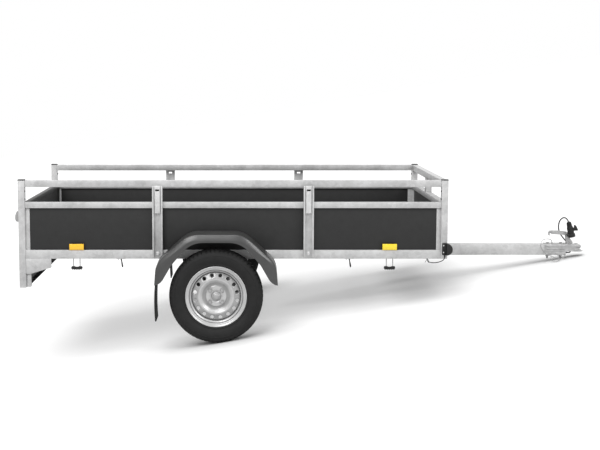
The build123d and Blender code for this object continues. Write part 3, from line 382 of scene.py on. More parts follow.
def add_prism(bm, points, place, depth, width, segments=2):
    """A flat outline extruded; place maps (u, v, w) to a level point and depth is along w."""
    front = [bm.verts.new(place(u, v, 0)) for u, v in points]
    back = [bm.verts.new(place(u, v, depth)) for u, v in points]
    faces = [bm.faces.new(front), bm.faces.new(back[::-1])]
    for i in range(len(points)):
        j = (i + 1) % len(points)
        faces.append(bm.faces.new((front[i], back[i], back[j], front[j])))
    bmesh.ops.recalc_face_normals(bm, faces=faces)
    bevel(bm, {e for face in faces[:2] for e in face.edges}, width, segments)


def upright(side, start):
    """For add_prism: an outline in x and z that grows sideways from a distance off the centre line."""
    return lambda u, v, w: Vector((u, side * (start + w), v))


def frame_at(centre, direction):
    """A matrix whose z axis follows a direction from a centre."""
    z = Vector(direction).normalized()
    helper = Vector((0, 0, 1))
    if abs(z.dot(helper)) > 0.95:
        helper = Vector((1, 0, 0))
    x = helper.cross(z).normalized()
    matrix = Matrix((x, z.cross(x), z)).transposed().to_4x4()
    matrix.translation = centre
    return matrix


def turns(count, start=0):
    """Evenly spaced angles round a circle."""
    return [start + 2 * math.pi * i / count for i in range(count)]


def polar(radius, angle):
    return radius * math.cos(angle), radius * math.sin(angle)


def tangent(line, i):
    return (line[min(i + 1, len(line) - 1)] - line[max(i - 1, 0)]).normalized()


def join_rings(bm, rings):
    """Faces between rings of vertices; a ring of one vertex is a tip."""
    for a, b in zip(rings, rings[1:]):
        for i in range(max(len(a), len(b))):
            j = i + 1
            corners = [a[i % len(a)], b[i % len(b)], b[j % len(b)], a[j % len(a)]]
            corners = list(dict.fromkeys(corners))
            if len(corners) > 2:
                bm.faces.new(corners)


def add_turned(bm, profile, matrix, segments=24, start=0):
    """A surface turned about a matrix's z axis from (radius, height) points, closed where radius is 0."""
    rings = []
    for radius, height in profile:
        around = turns(segments, start) if radius else [0]
        rings.append([bm.verts.new(matrix @ Vector((*polar(radius, a), height))) for a in around])
    join_rings(bm, rings)


def add_bolt(bm, centre, direction, across, height, washer):
    """A hexagon head with a chamfered top on a round washer."""
    matrix = frame_at(centre, direction)
    half = across / 2
    corner = half / math.cos(math.pi / 6)
    top = washer + height
    dish = washer + height * 0.92
    add_turned(bm, [(0, 0), (half * 1.3, 0), (half * 1.36, washer * 0.3), (half * 1.36, washer * 0.8),
                    (half * 1.28, washer), (0, washer)], matrix)
    add_turned(bm, [(0, washer), (corner, washer), (corner, washer + height * 0.82), (half * 0.95, top),
                    (half * 0.5, top), (half * 0.46, dish), (0, dish)], matrix, 6)


def add_dome(bm, centre, direction, radius, height, segments):
    """A round rivet or coach-bolt head."""
    steps = 5
    rise = [math.pi / 2 * i / steps for i in range(steps)]
    arc = [(radius * math.cos(a), height * math.sin(a)) for a in rise]
    add_turned(bm, [(0, 0), *arc, (0, height)], frame_at(centre, direction), segments)


def smooth_line(points, steps, closed=False):
    """A Catmull-Rom line through points."""
    points = [Vector(p) for p in points]
    count = len(points)
    line = []
    for i in range(count if closed else count - 1):
        p1, p2 = points[i], points[(i + 1) % count]
        p0 = points[i - 1] if closed or i > 0 else p1 * 2 - p2
        p3 = points[(i + 2) % count] if closed or i + 2 < count else p2 * 2 - p1
        for t in (k / steps for k in range(steps)):
            line.append(0.5 * (2 * p1 + (p2 - p0) * t + (2 * p0 - 5 * p1 + 4 * p2 - p3) * t * t
                               + (3 * p1 - p0 - 3 * p2 + p3) * t ** 3))
    return line if closed else line + [points[-1]]


def add_rod(bm, points, radius, segments):
    """A round rod along a line of points; radius is a number or one number a point."""
    radii = radius if isinstance(radius, list) else [radius] * len(points)
    points = [Vector(p) for p in points]
    side = None
    rings = []
    for i, point in enumerate(points):
        ahead = tangent(points, i)
        side = (side - ahead * side.dot(ahead) if side else ahead.orthogonal()).normalized()
        other = ahead.cross(side)
        rings.append([bm.verts.new(point + x * side + y * other)
                      for x, y in (polar(radii[i], a) for a in turns(segments))])
    join_rings(bm, rings)
    bm.faces.new(rings[0][::-1])
    bm.faces.new(rings[-1])


def rounded(points, radii, steps, closed=True):
    """A flat outline with its corners rounded by arcs of one radius, or of one a corner."""
    count = len(points)
    out = []
    for i in range(count):
        radius = radii[i] if isinstance(radii, list) else radii
        if not radius or (not closed and i in (0, count - 1)):
            out.append(tuple(points[i]))
            continue
        p = Vector(points[i])
        a, b = Vector(points[i - 1]) - p, Vector(points[(i + 1) % count]) - p
        half = math.tan(a.angle(b) / 2)
        cut = min(radius / half, 0.49 * a.length, 0.49 * b.length)
        a.normalize()
        b.normalize()
        centre = p + (a + b).normalized() * math.hypot(cut, cut * half)
        va, vb = p + a * cut - centre, p + b * cut - centre
        turn = math.atan2(va.x * vb.y - va.y * vb.x, va.dot(vb))
        out += [tuple(centre + Matrix.Rotation(turn * k / steps, 2) @ va) for k in range(steps + 1)]
    return out


def add_ring_grid(bm, rings, closed=False):
    """Faces between rings of points, and from the last ring to the first if closed."""
    made = [[bm.verts.new(point) for point in ring] for ring in rings]
    join_rings(bm, made + made[:1] if closed else made)


def face_up(bm):
    """Turn a sheet over unless most of it looks along z."""
    bm.normal_update()
    if sum(face.normal.z * face.calc_area() for face in bm.faces) < 0:
        bmesh.ops.reverse_faces(bm, faces=bm.faces)


def thicken(bm, thickness):
    """Turn an open sheet into a shell with its back this far behind its faces."""
    bm.normal_update()
    faces = list(bm.faces)
    rims = [edge.link_loops[0] for edge in bm.edges if len(edge.link_loops) == 1]
    rims = [(loop.vert, loop.link_loop_next.vert) for loop in rims]
    twin = {vert: bm.verts.new(vert.co - vert.normal * thickness) for vert in list(bm.verts)}
    for face in faces:
        bm.faces.new([twin[vert] for vert in reversed(face.verts)])
    for a, b in rims:
        bm.faces.new((b, a, twin[a], twin[b]))


def add_shell(bm, lines, thickness):
    """A sheet between open lines of points, turned upward and given a thickness behind it."""
    part = bmesh.new()
    made = [[part.verts.new(point) for point in line] for line in lines]
    for a, b in zip(made, made[1:]):
        for i in range(len(a) - 1):
            part.faces.new((a[i], b[i], b[i + 1], a[i + 1]))
    bmesh.ops.remove_doubles(part, verts=part.verts, dist=0.01)
    face_up(part)
    thicken(part, thickness)
    mesh = bpy.data.meshes.new("part")
    part.to_mesh(mesh)
    part.free()
    bm.from_mesh(mesh)
    bpy.data.meshes.remove(mesh)


def painted(bm, index, add, *arguments):
    """Call a builder and give the faces it adds a material of the piece's list."""
    known = set(bm.faces)
    add(bm, *arguments)
    for face in bm.faces:
        if face not in known:
            face.material_index = index


def along(line, at):
    """The second number of a line of pairs, read where the first one is at a value."""
    for (a, low), (b, high) in zip(line, line[1:]):
        if at <= b:
            return low + (high - low) * (at - a) / (b - a)
    return line[-1][1]


def ease(low, high, value):
    """A smooth step from 0 at low to 1 at high."""
    t = min(1, max(0, (value - low) / (high - low)))
    return t * t * (3 - 2 * t)


# ---- cords ----

ELECTRIC_DIAMETER = 8
ELECTRIC_ROUTE = [
    (2290, 12, 419), (2308, 12, 419), (2330, 26, 417), (2344, 50, 422), (2347, 71, 440), (2335, 78, 466),
    (2313, 73, 490), (2292, 58, 512), (2271, 40, 534), (2256, 26, 560), (2249, 17, 588), (2249, 8, 614),
    (2255, 3, 636), (2270, -18, 657), (2290, -41, 652), (2300, -42, 629)]
SAFETY_DIAMETER = 4
SAFETY_ROUTE = [
    (2200, -20, 483), (2200, -20, 499), (2190, -28, 512), (2158, -32, 516), (2131, -45, 510),
    (2118, -61, 490), (2116, -61, 467), (2134, -57, 438), (2156, -58, 417), (2183, -54, 406),
    (2214, -57, 394), (2235, -61, 385), (2258, -71, 389), (2274, -69, 402), (2282, -53, 414),
    (2282, -35, 414)]
LOOP_ROUTE = [
    (2187, -35, 416), (2187, -55, 416), (2185, -79, 396), (2184, -99, 381), (2196, -115, 375),
    (2218, -117, 378), (2233, -103, 385), (2232, -80, 401), (2229, -57, 416), (2229, -35, 416)]
MARKER_DIAMETER = 5
MARKER_ROUTE = [
    (1384, -708, 503), (1384, -708, 484), (1374, -694, 467), (1353, -676, 455), (1331, -661, 449),
    (1310, -648, 448), (1293, -641, 453), (1286, -640, 463), (1286, -640, 479)]

PLUG_FACE = (2324, -42, 535)
PLUG_UP = (-24, 0, 96)
PLUG_LENGTH = 99
PLUG_LINE = [
    (0, 0), (22.4, 0), (24, 1.4), (24, 13.4), (22.6, 15.2), (19.2, 16), (19, 61), (18.4, 64.4),
    (17.4, 66.4)]
PLUG_LUG = [(16, 32), (27, 31), (44, 27), (48, 34), (42, 58), (36, 69), (30, 64), (27, 52), (16, 50)]


def build_plug():
    """The plug with its ribbed sleeve, its lug and its bend relief; gives its axes and the piece."""
    axes = frame_at(PLUG_FACE, PLUG_UP)
    relief = []
    for k in range(6):
        radius, low = 17.4 - 0.45 * k, 67 + 4.6 * k
        relief += [(radius, low), (radius, low + 2.8), (radius - 1.6, low + 3.2), (radius - 1.8, low + 4.4)]
    end = [(10.6, 95.4), (8.6, 98), (5.4, PLUG_LENGTH), (0, PLUG_LENGTH)]
    bm = bmesh.new()
    add_turned(bm, PLUG_LINE + relief + end, axes, 40)
    for turn in turns(14):
        add_box(bm, (18.2, -1.5, 20), (20.4, 1.5, 58), 0.6, matrix=axes @ Matrix.Rotation(turn, 4, "Z"))
    add_prism(bm, rounded(PLUG_LUG, 3, 3), lambda u, v, w: axes @ Vector((w - 9, u, v)), 18, 1.6)
    return axes, new_piece("plug_body", bm, "moulded_black", "plug")


def add_cord(name, route, diameter, material, node):
    """A smooth spline on its route's points; the diameter is in millimetres."""
    curve = bpy.data.curves.new(name, "CURVE")
    curve.dimensions = "3D"
    curve.bevel_depth = diameter / 2 * MM
    curve.bevel_resolution = 4
    curve.resolution_u = 10
    curve.use_fill_caps = True
    spline = curve.splines.new("NURBS")
    spline.points.add(len(route) - 1)
    for point, at in zip(spline.points, route):
        point.co = (*(LEVEL_MM @ Vector(at)), 1)
    spline.order_u = 3
    spline.use_endpoint_u = True
    curve.materials.append(MATERIAL[material])
    cord = linked(name, curve)
    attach(cord, "trailer")
    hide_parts(node)


plug_axes, plug_body = build_plug()
add_cord("electric_lead", ELECTRIC_ROUTE, ELECTRIC_DIAMETER, "cable_sheath",
         "electric_cable")
for name, route, node, length in (("breakaway_rope", SAFETY_ROUTE, "safety_cable", 0.375),
                                  ("breakaway_loop", LOOP_ROUTE, "safety_loop", 0.205)):
    add_cord(name, route, SAFETY_DIAMETER, "wire_rope", node)
add_cord("marker_lead", MARKER_ROUTE, MARKER_DIAMETER, "cable_sheath", "marker_cable")

# ---- floor and light ----

FLOOR_LOW = (0.48, 0.48, 0.48)  # the paper's two tones
FLOOR_HIGH = (0.5, 0.5, 0.5)
FLOOR_SHOWN = 0.54  # brings the lit floor up to the photograph's white
CONTACT_REACH = 0.35  # metres within which a thing takes that away from the floor, as a painted contact shadow
CONTACT_DEPTH = 1.8
SKY_LIGHT = 0.42  # the world's strength as a light; it is seen at 1


def build_floor():
    """White paper that glows a little where it is seen, and less close under the trailer, where the dimmed
    glow is a painted contact shadow.
    """
    mesh = bpy.data.meshes.new("floor")
    bm = bmesh.new()
    bmesh.ops.create_grid(bm, x_segments=1, y_segments=1, size=40)
    bm.to_mesh(mesh)
    bm.free()
    s = Shader("floor_paper")
    # ambient occlusion dims the floor's glow: a painted contact shadow under the trailer
    openness = s.node("AmbientOcclusion", samples=12, Distance=CONTACT_REACH).outputs["AO"]
    shown = s.maths("MULTIPLY", s.seen(), s.maths("POWER", openness, CONTACT_DEPTH))
    s.finish(s.ramp(s.noise(3, 2), [(0, FLOOR_LOW), (1, FLOOR_HIGH)]), 0.9, Specular_IOR_Level=0.1,
             Emission_Color=(1, 1, 1), Emission_Strength=s.scaled(shown, 0, FLOOR_SHOWN))
    mesh.materials.append(MATERIAL["floor_paper"])
    linked("floor", mesh)


def build_sky():
    """An even white world, which lights the trailer less than it shows."""
    world = bpy.data.worlds.new("studio")
    bpy.context.scene.world = world
    world.use_nodes = True
    sky = Nodes(world.node_tree)
    light = world.node_tree.nodes["Background"].inputs
    sky.put(light["Color"], (1, 1, 1))
    sky.put(light["Strength"], sky.scaled(sky.seen(), SKY_LIGHT, 1))


def add_sun(name, towards, strength, spread):
    """A broad soft light that shines along a level direction."""
    light = bpy.data.lights.new(name, "SUN")
    light.energy = strength
    light.angle = math.radians(spread)
    linked(name, light).rotation_euler = Vector(towards).to_track_quat("-Z", "Y").to_euler()


build_floor()
build_sky()
add_sun("overhead", (0.1, 0.15, -1), 1.5, 50)
add_sun("front", (0.2, 0.7, -0.72), 1.25, 30)
add_sun("nose", (-0.8, 0.55, -0.5), 0.95, 25)

# ---- frame and boards: CAD nodes with rounded steel edges ----

# each galvanised node and how wide its edges are rounded
ZINC_EDGES = {
    "corner_posts": 2.5, "top_rails": 2.5, "mid_rails": 2.5, "front_rails": 2.5, "sills": 2.5,
    "side_posts": 1.2, "spigots": 1.5, "panel_channels": 0.8, "front_stay": 2.5, "cross_members": 1,
    "drawbar": 3, "axle_beam": 4, "axle_brackets": 1.5, "gussets": 0.8, "board_ends": 0.8,
    "mudguard_stays": 0.8, "hinge_brackets": 0.8, "gate_hinges": 0.8}
OTHER_ZINC = {"spigots": "galvanised_bright", "cross_members": "galvanised_dull"}
MIDDLE_RAIL = (783, 823)
RAIL_LIFT = 5


def lift_lower_edge(name):
    """Raise the middle rails' lower edge, and the boards that end under it, as the photograph has them."""
    low, high = MIDDLE_RAIL
    level = LEVEL_MM.inverted()
    for vertex in bpy.data.objects[name].data.vertices:
        at = level @ vertex.co
        if low - 3 < at.z < high:
            at.z += RAIL_LIFT * min((high - at.z) / (high - low), 1)
            vertex.co = LEVEL_MM @ at


for node, width in ZINC_EDGES.items():
    soften(node, width, OTHER_ZINC.get(node, "galvanised"))
for node in ("side_panels", "headboard", "floor_board", "tailgate_board"):
    film = "floor_film" if node == "floor_board" else "film_plywood"
    soften(node, 0.8, film, node + "_sheet")
soften("tailgate_frame", 1.5, "dark_steel")
soften("light_board", 0.8, "dark_steel")
soften("axle_arms", 2, "zinc_plate")
for name in ("mid_rails_steel", "front_rails_steel", "panel_channels_steel", "side_panels_sheet",
             "headboard_sheet"):
    lift_lower_edge(name)

# ---- wheels ----

WHEEL_Y = 845
DISC_FACE = 34  # outboard of the tyre's middle plane
STUD_CIRCLE = 50
VENT_COUNT = 16
VENT_CIRCLE = 127
VENT_RADIUS = 11
VENT_BAND = 141.4  # the vents' band ends here
VENT_LIP = ((2.6, 0), (1.2, 0.5), (0.2, 1.8), (0, 3.6))  # wider than the vent, behind the disc's face
DISC_STEEL = 3.6
SECTOR_STEPS = 8
TREAD_PITCHES = 64
CENTRE_RIB = 30  # half the width in which the cross grooves are set off by half a pitch
GROOVE_LEAN = 0.35 / 60
TREAD_CUTS = (0, 0.77, 0.8, 0.97)  # where a block starts and ends and its groove starts and ends
# half of the tyre's section from the bead to the middle: radius, offset, depth of the cross grooves
TYRE_HALF = [
    (167, 45, 0), (167, 54.5, 0), (170, 56.6, 0), (177, 58.4, 0), (184, 61.8, 0), (188, 64.3, 0),
    (191, 65.4, 0), (194, 65.2, 0), (195.5, 63.9, 0), (201, 65.7, 0), (209, 68.8, 0), (218, 71.2, 0),
    (228, 72.4, 0), (238, 72.2, 0), (243.5, 71.2, 0), (244.5, 72.1, 0), (247, 71.7, 0), (248, 70.2, 0),
    (254, 68.2, 0), (259, 66, 0), (260, 66.6, 0), (263, 65.2, 0.6), (264, 63.8, 1.6), (268, 61.2, 3.2),
    (272.5, 56.6, 4.6), (276.3, 51.2, 5.6), (278.6, 46.2, 6.4), (279.4, 40, 6.4), (279.8, 34.2, 6.2),
    (279, 33.6, 5), (273.2, 33, 0), (273.2, 28, 0), (279.4, 27.4, 3), (280.3, 26.6, 3.4), (280.7, 21, 3.4),
    (280.9, 15, 3.4), (280.1, 14.2, 3), (273.6, 13.6, 0), (273.6, 8.8, 0), (280.3, 8.2, 2), (281, 7.4, 2),
    (281, 0, 2)]
TYRE_LINING = [(269, 48), (246, 63), (205, 57), (172, 44)]
# the rim's rolled section, air side then tyre side: radius, offset
RIM_AIR_SIDE = [
    (166.8, 57), (171.5, 58.2), (176.5, 60), (180.4, 60.4), (182.4, 61.8), (183, 64), (181.8, 66),
    (179.4, 66.8), (176.6, 65.4), (173.6, 62.6), (169.5, 61), (165, 60.4), (162.4, 58.6), (161, 55),
    (160.8, 49), (160.4, 44.6), (159.3, 44.2), (158.4, 45), (157.4, 46.8), (153, 43.8), (148.6, 41.2),
    (147, 37), (146.6, 30), (146.4, -22), (148, -29), (155, -36), (161, -43), (162.2, -55), (165, -60.4),
    (173.6, -62.6), (179.4, -66.8), (183, -64), (180.4, -60.4), (171.5, -58.2), (166.8, -57)]
RIM_TYRE_SIDE = [
    (166.4, -45), (163.4, -40), (156.5, -32), (150.8, -25), (150.6, 12), (151.6, 34), (158, 39.4),
    (164.4, 43.2), (166.4, 46)]
# the pressed disc: radius, offset
DISC_LINE = [
    (29, 32.6), (31.5, 34), (38, 34), (50, 34), (62, 34), (68, 33), (76, 34.4), (84, 39), (91, 44.6),
    (97, 48.6), (102, 50.2), (107, 49.8), (112, 48)]
DISC_EDGE = [
    (112, 48), (120, 44.4), (130, 40), (138, 36.4), (141.5, 34.2), (144.4, 30.8), (145.8, 27), (146.2, 20)]
HUB_LINE = [
    (0, 39.2), (18.3, 39.2), (18.3, -103), (33.5, -103), (36, -100.5), (36, -14), (37.5, -4), (43, 8),
    (57, 15), (60.8, 16.6), (62, 18.6), (62, 28), (60.6, 29.5), (28.8, 29.6), (28.6, 34.6), (27.6, 36.6),
    (26.4, 37.4), (25.6, 40.6), (24.2, 42), (20.6, 42.6), (19.2, 43.6), (18.2, 47), (16.4, 50.4),
    (12.6, 52.6), (6, 53.6), (0, 53.7)]
BOLT_HEAD = [(0, 4), (9.6, 4), (9.6, 11.2), (8.4, 12.8), (5, 12.9), (4.4, 11.6), (0, 11.6)]
STUDS = turns(4, math.pi / 4)


def on_wheel(side):
    """A wheel's own axes in level millimetres, with z outboard from its middle plane."""
    matrix = Matrix(((1, 0, 0), (0, 0, side), (0, -side, 0))).to_4x4()
    matrix.translation = (0, side * WHEEL_Y, TYRE_R)
    return matrix


def wheel_piece(name, bm, material, node, angle, side):
    """A piece that turns with one wheel, in place of that wheel's node."""
    new_piece(name + NAME[side], bm, material, node + NAME[side], angle, BODY[side])


def build_tyre(side):
    """The tyre with its ribs; each pitch of its tread is a block and a cross groove."""
    matrix = on_wheel(side)
    section = TYRE_HALF + [(r, -z, depth) for r, z, depth in reversed(TYRE_HALF[:-1])]
    section += [(r, -z, 0) for r, z in reversed(TYRE_LINING)] + [(r, z, 0) for r, z in TYRE_LINING]
    rings = []
    for radius, offset, depth in section:
        shift = (0.5 if abs(offset) < CENTRE_RIB else 0) + (GROOVE_LEAN * offset if depth else 0)
        levels = (radius, radius, radius - depth, radius - depth)
        places = [(level, 2 * math.pi * (pitch + cut + shift) / TREAD_PITCHES)
                  for pitch in range(TREAD_PITCHES) for level, cut in zip(levels, TREAD_CUTS)]
        rings.append([matrix @ Vector((*polar(*place), offset)) for place in places])
    bm = bmesh.new()
    add_ring_grid(bm, rings, closed=True)
    wheel_piece("tyre_carcass_", bm, "tyre_rubber", "tyre_", 32, side)


def disc_relief(x, y):
    """How far the disc's bolt seats stand out of its face."""
    radius = math.hypot(x, y)
    raised = ease(34, 38, radius) * (1 - ease(59, 65, radius))
    for turn in STUDS:
        away = (Vector((x, y)) - Vector(polar(STUD_CIRCLE, turn))).length
        raised *= 0.15 + 0.85 * ease(12, 18, away)
    return 3.2 * raised


def build_barrel(side):
    """The rolled rim without its disc."""
    matrix = on_wheel(side)
    bm = bmesh.new()
    add_ring_grid(bm, [[matrix @ Vector((*polar(r, t), z)) for t in turns(96)]
                       for r, z in RIM_AIR_SIDE + RIM_TYRE_SIDE], closed=True)
    wheel_piece("rim_barrel_", bm, "wheel_silver", "rim_", 50, side)


def build_disc(side):
    """The pressed disc with its bolt seats and its ring of vents."""
    bm = bmesh.new()
    around = turns(VENT_COUNT * SECTOR_STEPS)
    grid = [[(*polar(r, t), z) for t in around] for r, z in smooth_line(DISC_LINE, 3)]
    add_ring_grid(bm, [[(x, y, z + disc_relief(x, y)) for x, y, z in ring] for ring in grid])
    edge_line = smooth_line(DISC_EDGE, 4)
    outer = [(r, z) for r, z in edge_line if r > VENT_BAND]
    add_ring_grid(bm, [[(*polar(r, t), z) for t in around] for r, z in outer])
    add_vents(bm, edge_line, DISC_LINE[-1][0], outer[0][0])
    bmesh.ops.remove_doubles(bm, verts=bm.verts, dist=0.02)
    bmesh.ops.recalc_face_normals(bm, faces=bm.faces)
    face_up(bm)
    thicken(bm, DISC_STEEL)
    bmesh.ops.transform(bm, matrix=on_wheel(side), verts=bm.verts)
    wheel_piece("rim_disc_", bm, "wheel_silver", "rim_", 55, side)


def add_vents(bm, line, inner, outer):
    """The band of the disc that holds the round vents, one sector at a time."""
    sector = 2 * math.pi / VENT_COUNT
    side_steps = SECTOR_STEPS // 2
    lengthways = [i / SECTOR_STEPS for i in range(SECTOR_STEPS)]
    outward = [(outer - inner) * i / side_steps for i in range(side_steps)]
    border = [(inner, share) for share in lengthways] + [(inner + rise, 1) for rise in outward]
    border += [(outer, 1 - share) for share in lengthways] + [(outer - rise, 0) for rise in outward]
    for k in range(VENT_COUNT):
        middle = (k + 0.5) * sector
        centre = Vector(polar(VENT_CIRCLE, middle))
        radial = centre.normalized()
        across = Vector((-radial.y, radial.x))
        edge = [Vector(polar(r, (k + share) * sector)) for r, share in border]
        circles = []
        for wider, sink in VENT_LIP:
            spots = (polar(VENT_RADIUS + wider, a) for a in turns(len(border), math.radians(-150)))
            circles.append(([centre + u * across + v * radial for u, v in spots], sink))
        halfway = [(a + b) / 2 for a, b in zip(edge, circles[0][0])]
        add_ring_grid(bm, [[(p.x, p.y, along(line, p.length) - sink) for p in ring]
                           for ring, sink in [(edge, 0), (halfway, 0), *circles]])


def build_hub(side):
    """The hub and drum with its cap, and the wheel bolts on their seats."""
    matrix = on_wheel(side)
    bm = bmesh.new()
    add_turned(bm, HUB_LINE, matrix, 48)
    outward = matrix.to_3x3() @ Vector((0, 0, 1))
    for k, turn in enumerate(STUDS):
        seat = frame_at(matrix @ Vector((*polar(STUD_CIRCLE, turn), DISC_FACE)), outward)
        add_turned(bm, [(0, 0), (11.4, 0), (9.2, 4.4), (0, 4.4)], seat, 20)
        add_turned(bm, BOLT_HEAD, seat, 6, 0.3 * k)
        add_turned(bm, [(0, -22), (6, -22), (6, -4.5), (0, -4.5)], seat, 12)
    wheel_piece("hub_and_bolts_", bm, "zinc_plate", "hub_", 32, side)


for side in SIDES:
    build_tyre(side)
    build_barrel(side)
    build_disc(side)
    build_hub(side)

# ---- mudguards and flaps ----

GUARD_OUTER = 925
GUARD_TOP = 652
GUARD_FLAT = 163
GUARD_KNEE = (358, 479)
GUARD_END = (368, 350)
GUARD_BENDS = (124, 153)
GUARD_SKIN = 4
# the wheel opening in the outer face: x, z, radius
OPENING = [(148, 606, 153), (262, 474, 100), (317, 380, 30), (331, 366.5, 0)]
TOE_INSET = 12  # from here inward the foot's lower edge rises
TOE_RISE = 0.66
# across the mudguard: y, how far inside the outline
GUARD_SECTION = [
    (723, 40), (723, 22), (723, 4), (723.6, 1.2), (725.5, -0.6), (728.5, -2), (731.5, -2), (734.5, -0.4),
    (737.5, 0.8), (780, 0.2), (830, 0), (880, 0.2), (902, 0.6), (907, 1.4), (910.5, 3.4), (913, 6.6),
    (918.5, 18), (923.4, 31), (925, 37)]


def guard_outline(inset):
    """The mudguard's outline from the rear foot to the front foot, moved inward."""
    slope = math.atan2(GUARD_TOP - GUARD_KNEE[1], GUARD_KNEE[0] - GUARD_FLAT)
    steep = math.atan2(GUARD_KNEE[1] - GUARD_END[1], GUARD_END[0] - GUARD_KNEE[0])
    shift = inset * math.tan((steep - slope) / 2)
    arch = (GUARD_FLAT - inset * math.tan(slope / 2), GUARD_TOP - inset)
    knee = (GUARD_KNEE[0] - inset * math.sin(steep) - shift * math.cos(steep),
            GUARD_KNEE[1] - inset * math.cos(steep) + shift * math.sin(steep))
    foot = (GUARD_END[0] - inset / math.sin(steep), GUARD_END[1] + TOE_RISE * max(0, inset - TOE_INSET))
    right = [arch, knee, foot]
    points = [(-x, z) for x, z in reversed(right)] + right
    knee_bend, arch_bend = (bend - inset for bend in GUARD_BENDS)
    return resampled(rounded(points, [0, knee_bend, arch_bend, arch_bend, knee_bend, 0], 10, closed=False))


def resampled(points, count=120):
    """A flat line as points at even steps along it."""
    points = [Vector(p) for p in points]
    lengths = [0]
    for a, b in zip(points, points[1:]):
        lengths.append(lengths[-1] + (b - a).length)
    out, k = [], 0
    for i in range(count + 1):
        at = lengths[-1] * i / count
        while k < len(points) - 2 and lengths[k + 1] < at:
            k += 1
        share = (at - lengths[k]) / (lengths[k + 1] - lengths[k])
        out.append(points[k].lerp(points[k + 1], share))
    return out


def build_mudguard(side):
    """The moulded shell, from its inner edge over the top to the wheel opening."""
    opening = [(-x, z, bend) for x, z, bend in reversed(OPENING)] + OPENING
    bends = [bend for _, _, bend in opening]
    arch = resampled(rounded([(x, z) for x, z, _ in opening], bends, 10, closed=False))
    lines = [(y, guard_outline(inset)) for y, inset in GUARD_SECTION] + [(GUARD_OUTER, arch)]
    bm = bmesh.new()
    add_shell(bm, [[(x, side * y, z) for x, z in line] for y, line in lines], GUARD_SKIN)
    new_piece("mudguard_shell_" + NAME[side], bm, "guard_plastic", "mudguards", 45)


for side in SIDES:
    build_mudguard(side)
soften("mudflaps", 2.5, "flap_rubber", "mudflap_rubber")

# ---- coupling ----

DRAWBAR_LOW = 409
HEAD_REAR = 2152
HEAD_HALF = 39
HEAD_LOW = 433
HEAD_STEEL = 4
HEAD_CREST = [
    (2152, 483), (2300, 483), (2322, 481.5), (2338, 477), (2352, 476.5), (2368, 480.5), (2378, 481),
    (2388, 477.5), (2397, 470)]
BALL_X = 2358
BOLT_X = (2175, 2262)
BOLT_TIP = 381
NUT_HEIGHT = 13
THREAD_PITCH = 1.75
HANDLE_HALF = 12
# the grip's line from its pivot back to its hooked end: x, z, depth of its sides
GRIP = [
    (2311, 554, 20), (2298, 559.5, 23), (2272, 563.5, 24), (2236, 566.5, 24), (2202, 568, 23),
    (2190, 566.8, 19), (2183.5, 562, 13), (2180.4, 554, 8), (2180, 544, 6), (2182, 535, 4)]
STRUT = [
    (2298, 481), (2338, 481), (2340, 491), (2329, 506), (2316, 524), (2309, 540), (2307, 553), (2298, 558),
    (2285, 559), (2283, 548), (2289, 541), (2294, 520), (2296, 500)]
# the head's lines from its flared lower edge up: height share, inset, flare, outer band, recess at the nose
HEAD_LEVELS = [
    (0, 0, 1, 0, 0), (0.05, 0, 0.96, 0, 0), (0.09, 0, 0.4, 0, 0), (0.15, 0, 0, 0, 0), (0.24, 0, 0, 0, 0),
    (0.29, 0, 0, 1, 1), (0.42, 0, 0, 1, 1), (0.47, 0, 0, 0, 1), (0.58, 0, 0, 0, 0.3), (0.63, 0, 0, 1, 0),
    (0.76, 0, 0, 1, 0), (0.81, 0, 0, 0, 0), (0.88, 0.5, 0, 0, 0), (0.94, 2, 0, 0, 0), (0.98, 4.8, 0, 0, 0),
    (1, 9, 0, 0, 0), (1, 22, 0, 0, 0), (1, HEAD_HALF, 0, 0, 0)]
BALL_CUP = [
    (25.4, 436), (25.4, 452), (22.4, 461), (16, 466.5), (0, 468.4), (0, 471.6), (18, 470), (26, 463),
    (29, 452), (29, 436), (25.4, 436)]
LUG = [(2311, 481), (2336, 479), (2341, 486), (2332, 505), (2322, 504), (2315, 494)]


def head_ring(share, inset, flare, band, recess):
    """One line round the coupling head, at a share of its height and inside or outside its plan outline."""
    steps = 26
    plan = [(HEAD_REAR + (BALL_X - HEAD_REAR) * i / steps, -HEAD_HALF, 0, -1) for i in range(steps)]
    plan += [(BALL_X + HEAD_HALF * math.cos(a), HEAD_HALF * math.sin(a), math.cos(a), math.sin(a))
             for a in (math.pi * (i / 28 - 0.5) for i in range(29))]
    plan += [(x, -y, 0, 1) for x, y, _, _ in reversed(plan[:steps])]
    line = []
    for x, y, nx, ny in plan:
        ribbed = ease(2160, 2168, x) * (1 - ease(2274, 2284, x))
        away = inset - 12 * flare * ease(2320, 2350, x) - 3 * band * ribbed
        away += 7.5 * recess * ease(2352, 2366, x)
        height = HEAD_LOW + (along(HEAD_CREST, x) - HEAD_LOW) * share
        line.append((x - nx * away, y - ny * away, height))
    return line


def build_coupling_head():
    """The pressed head on its flare, the ball's cup, a block under the lever and the bolts' washers."""
    bm = bmesh.new()
    add_shell(bm, [head_ring(*level) for level in HEAD_LEVELS], HEAD_STEEL - 0.05)
    add_turned(bm, BALL_CUP, Matrix.Translation((BALL_X, 0, 0)), 40)
    add_box(bm, (2299, -15, 441), (2327, 15, 468), 3)
    washer = [(6.4, 483.02), (12.4, 483.02), (12.6, 483.6), (12.4, 484.4), (6.4, 484.4), (6.4, 483.02)]
    for x in BOLT_X:
        add_turned(bm, washer, Matrix.Translation((x, 0, 0)))
    new_piece("coupling_pressing", bm, "zinc_plate", "coupling_head", 38)


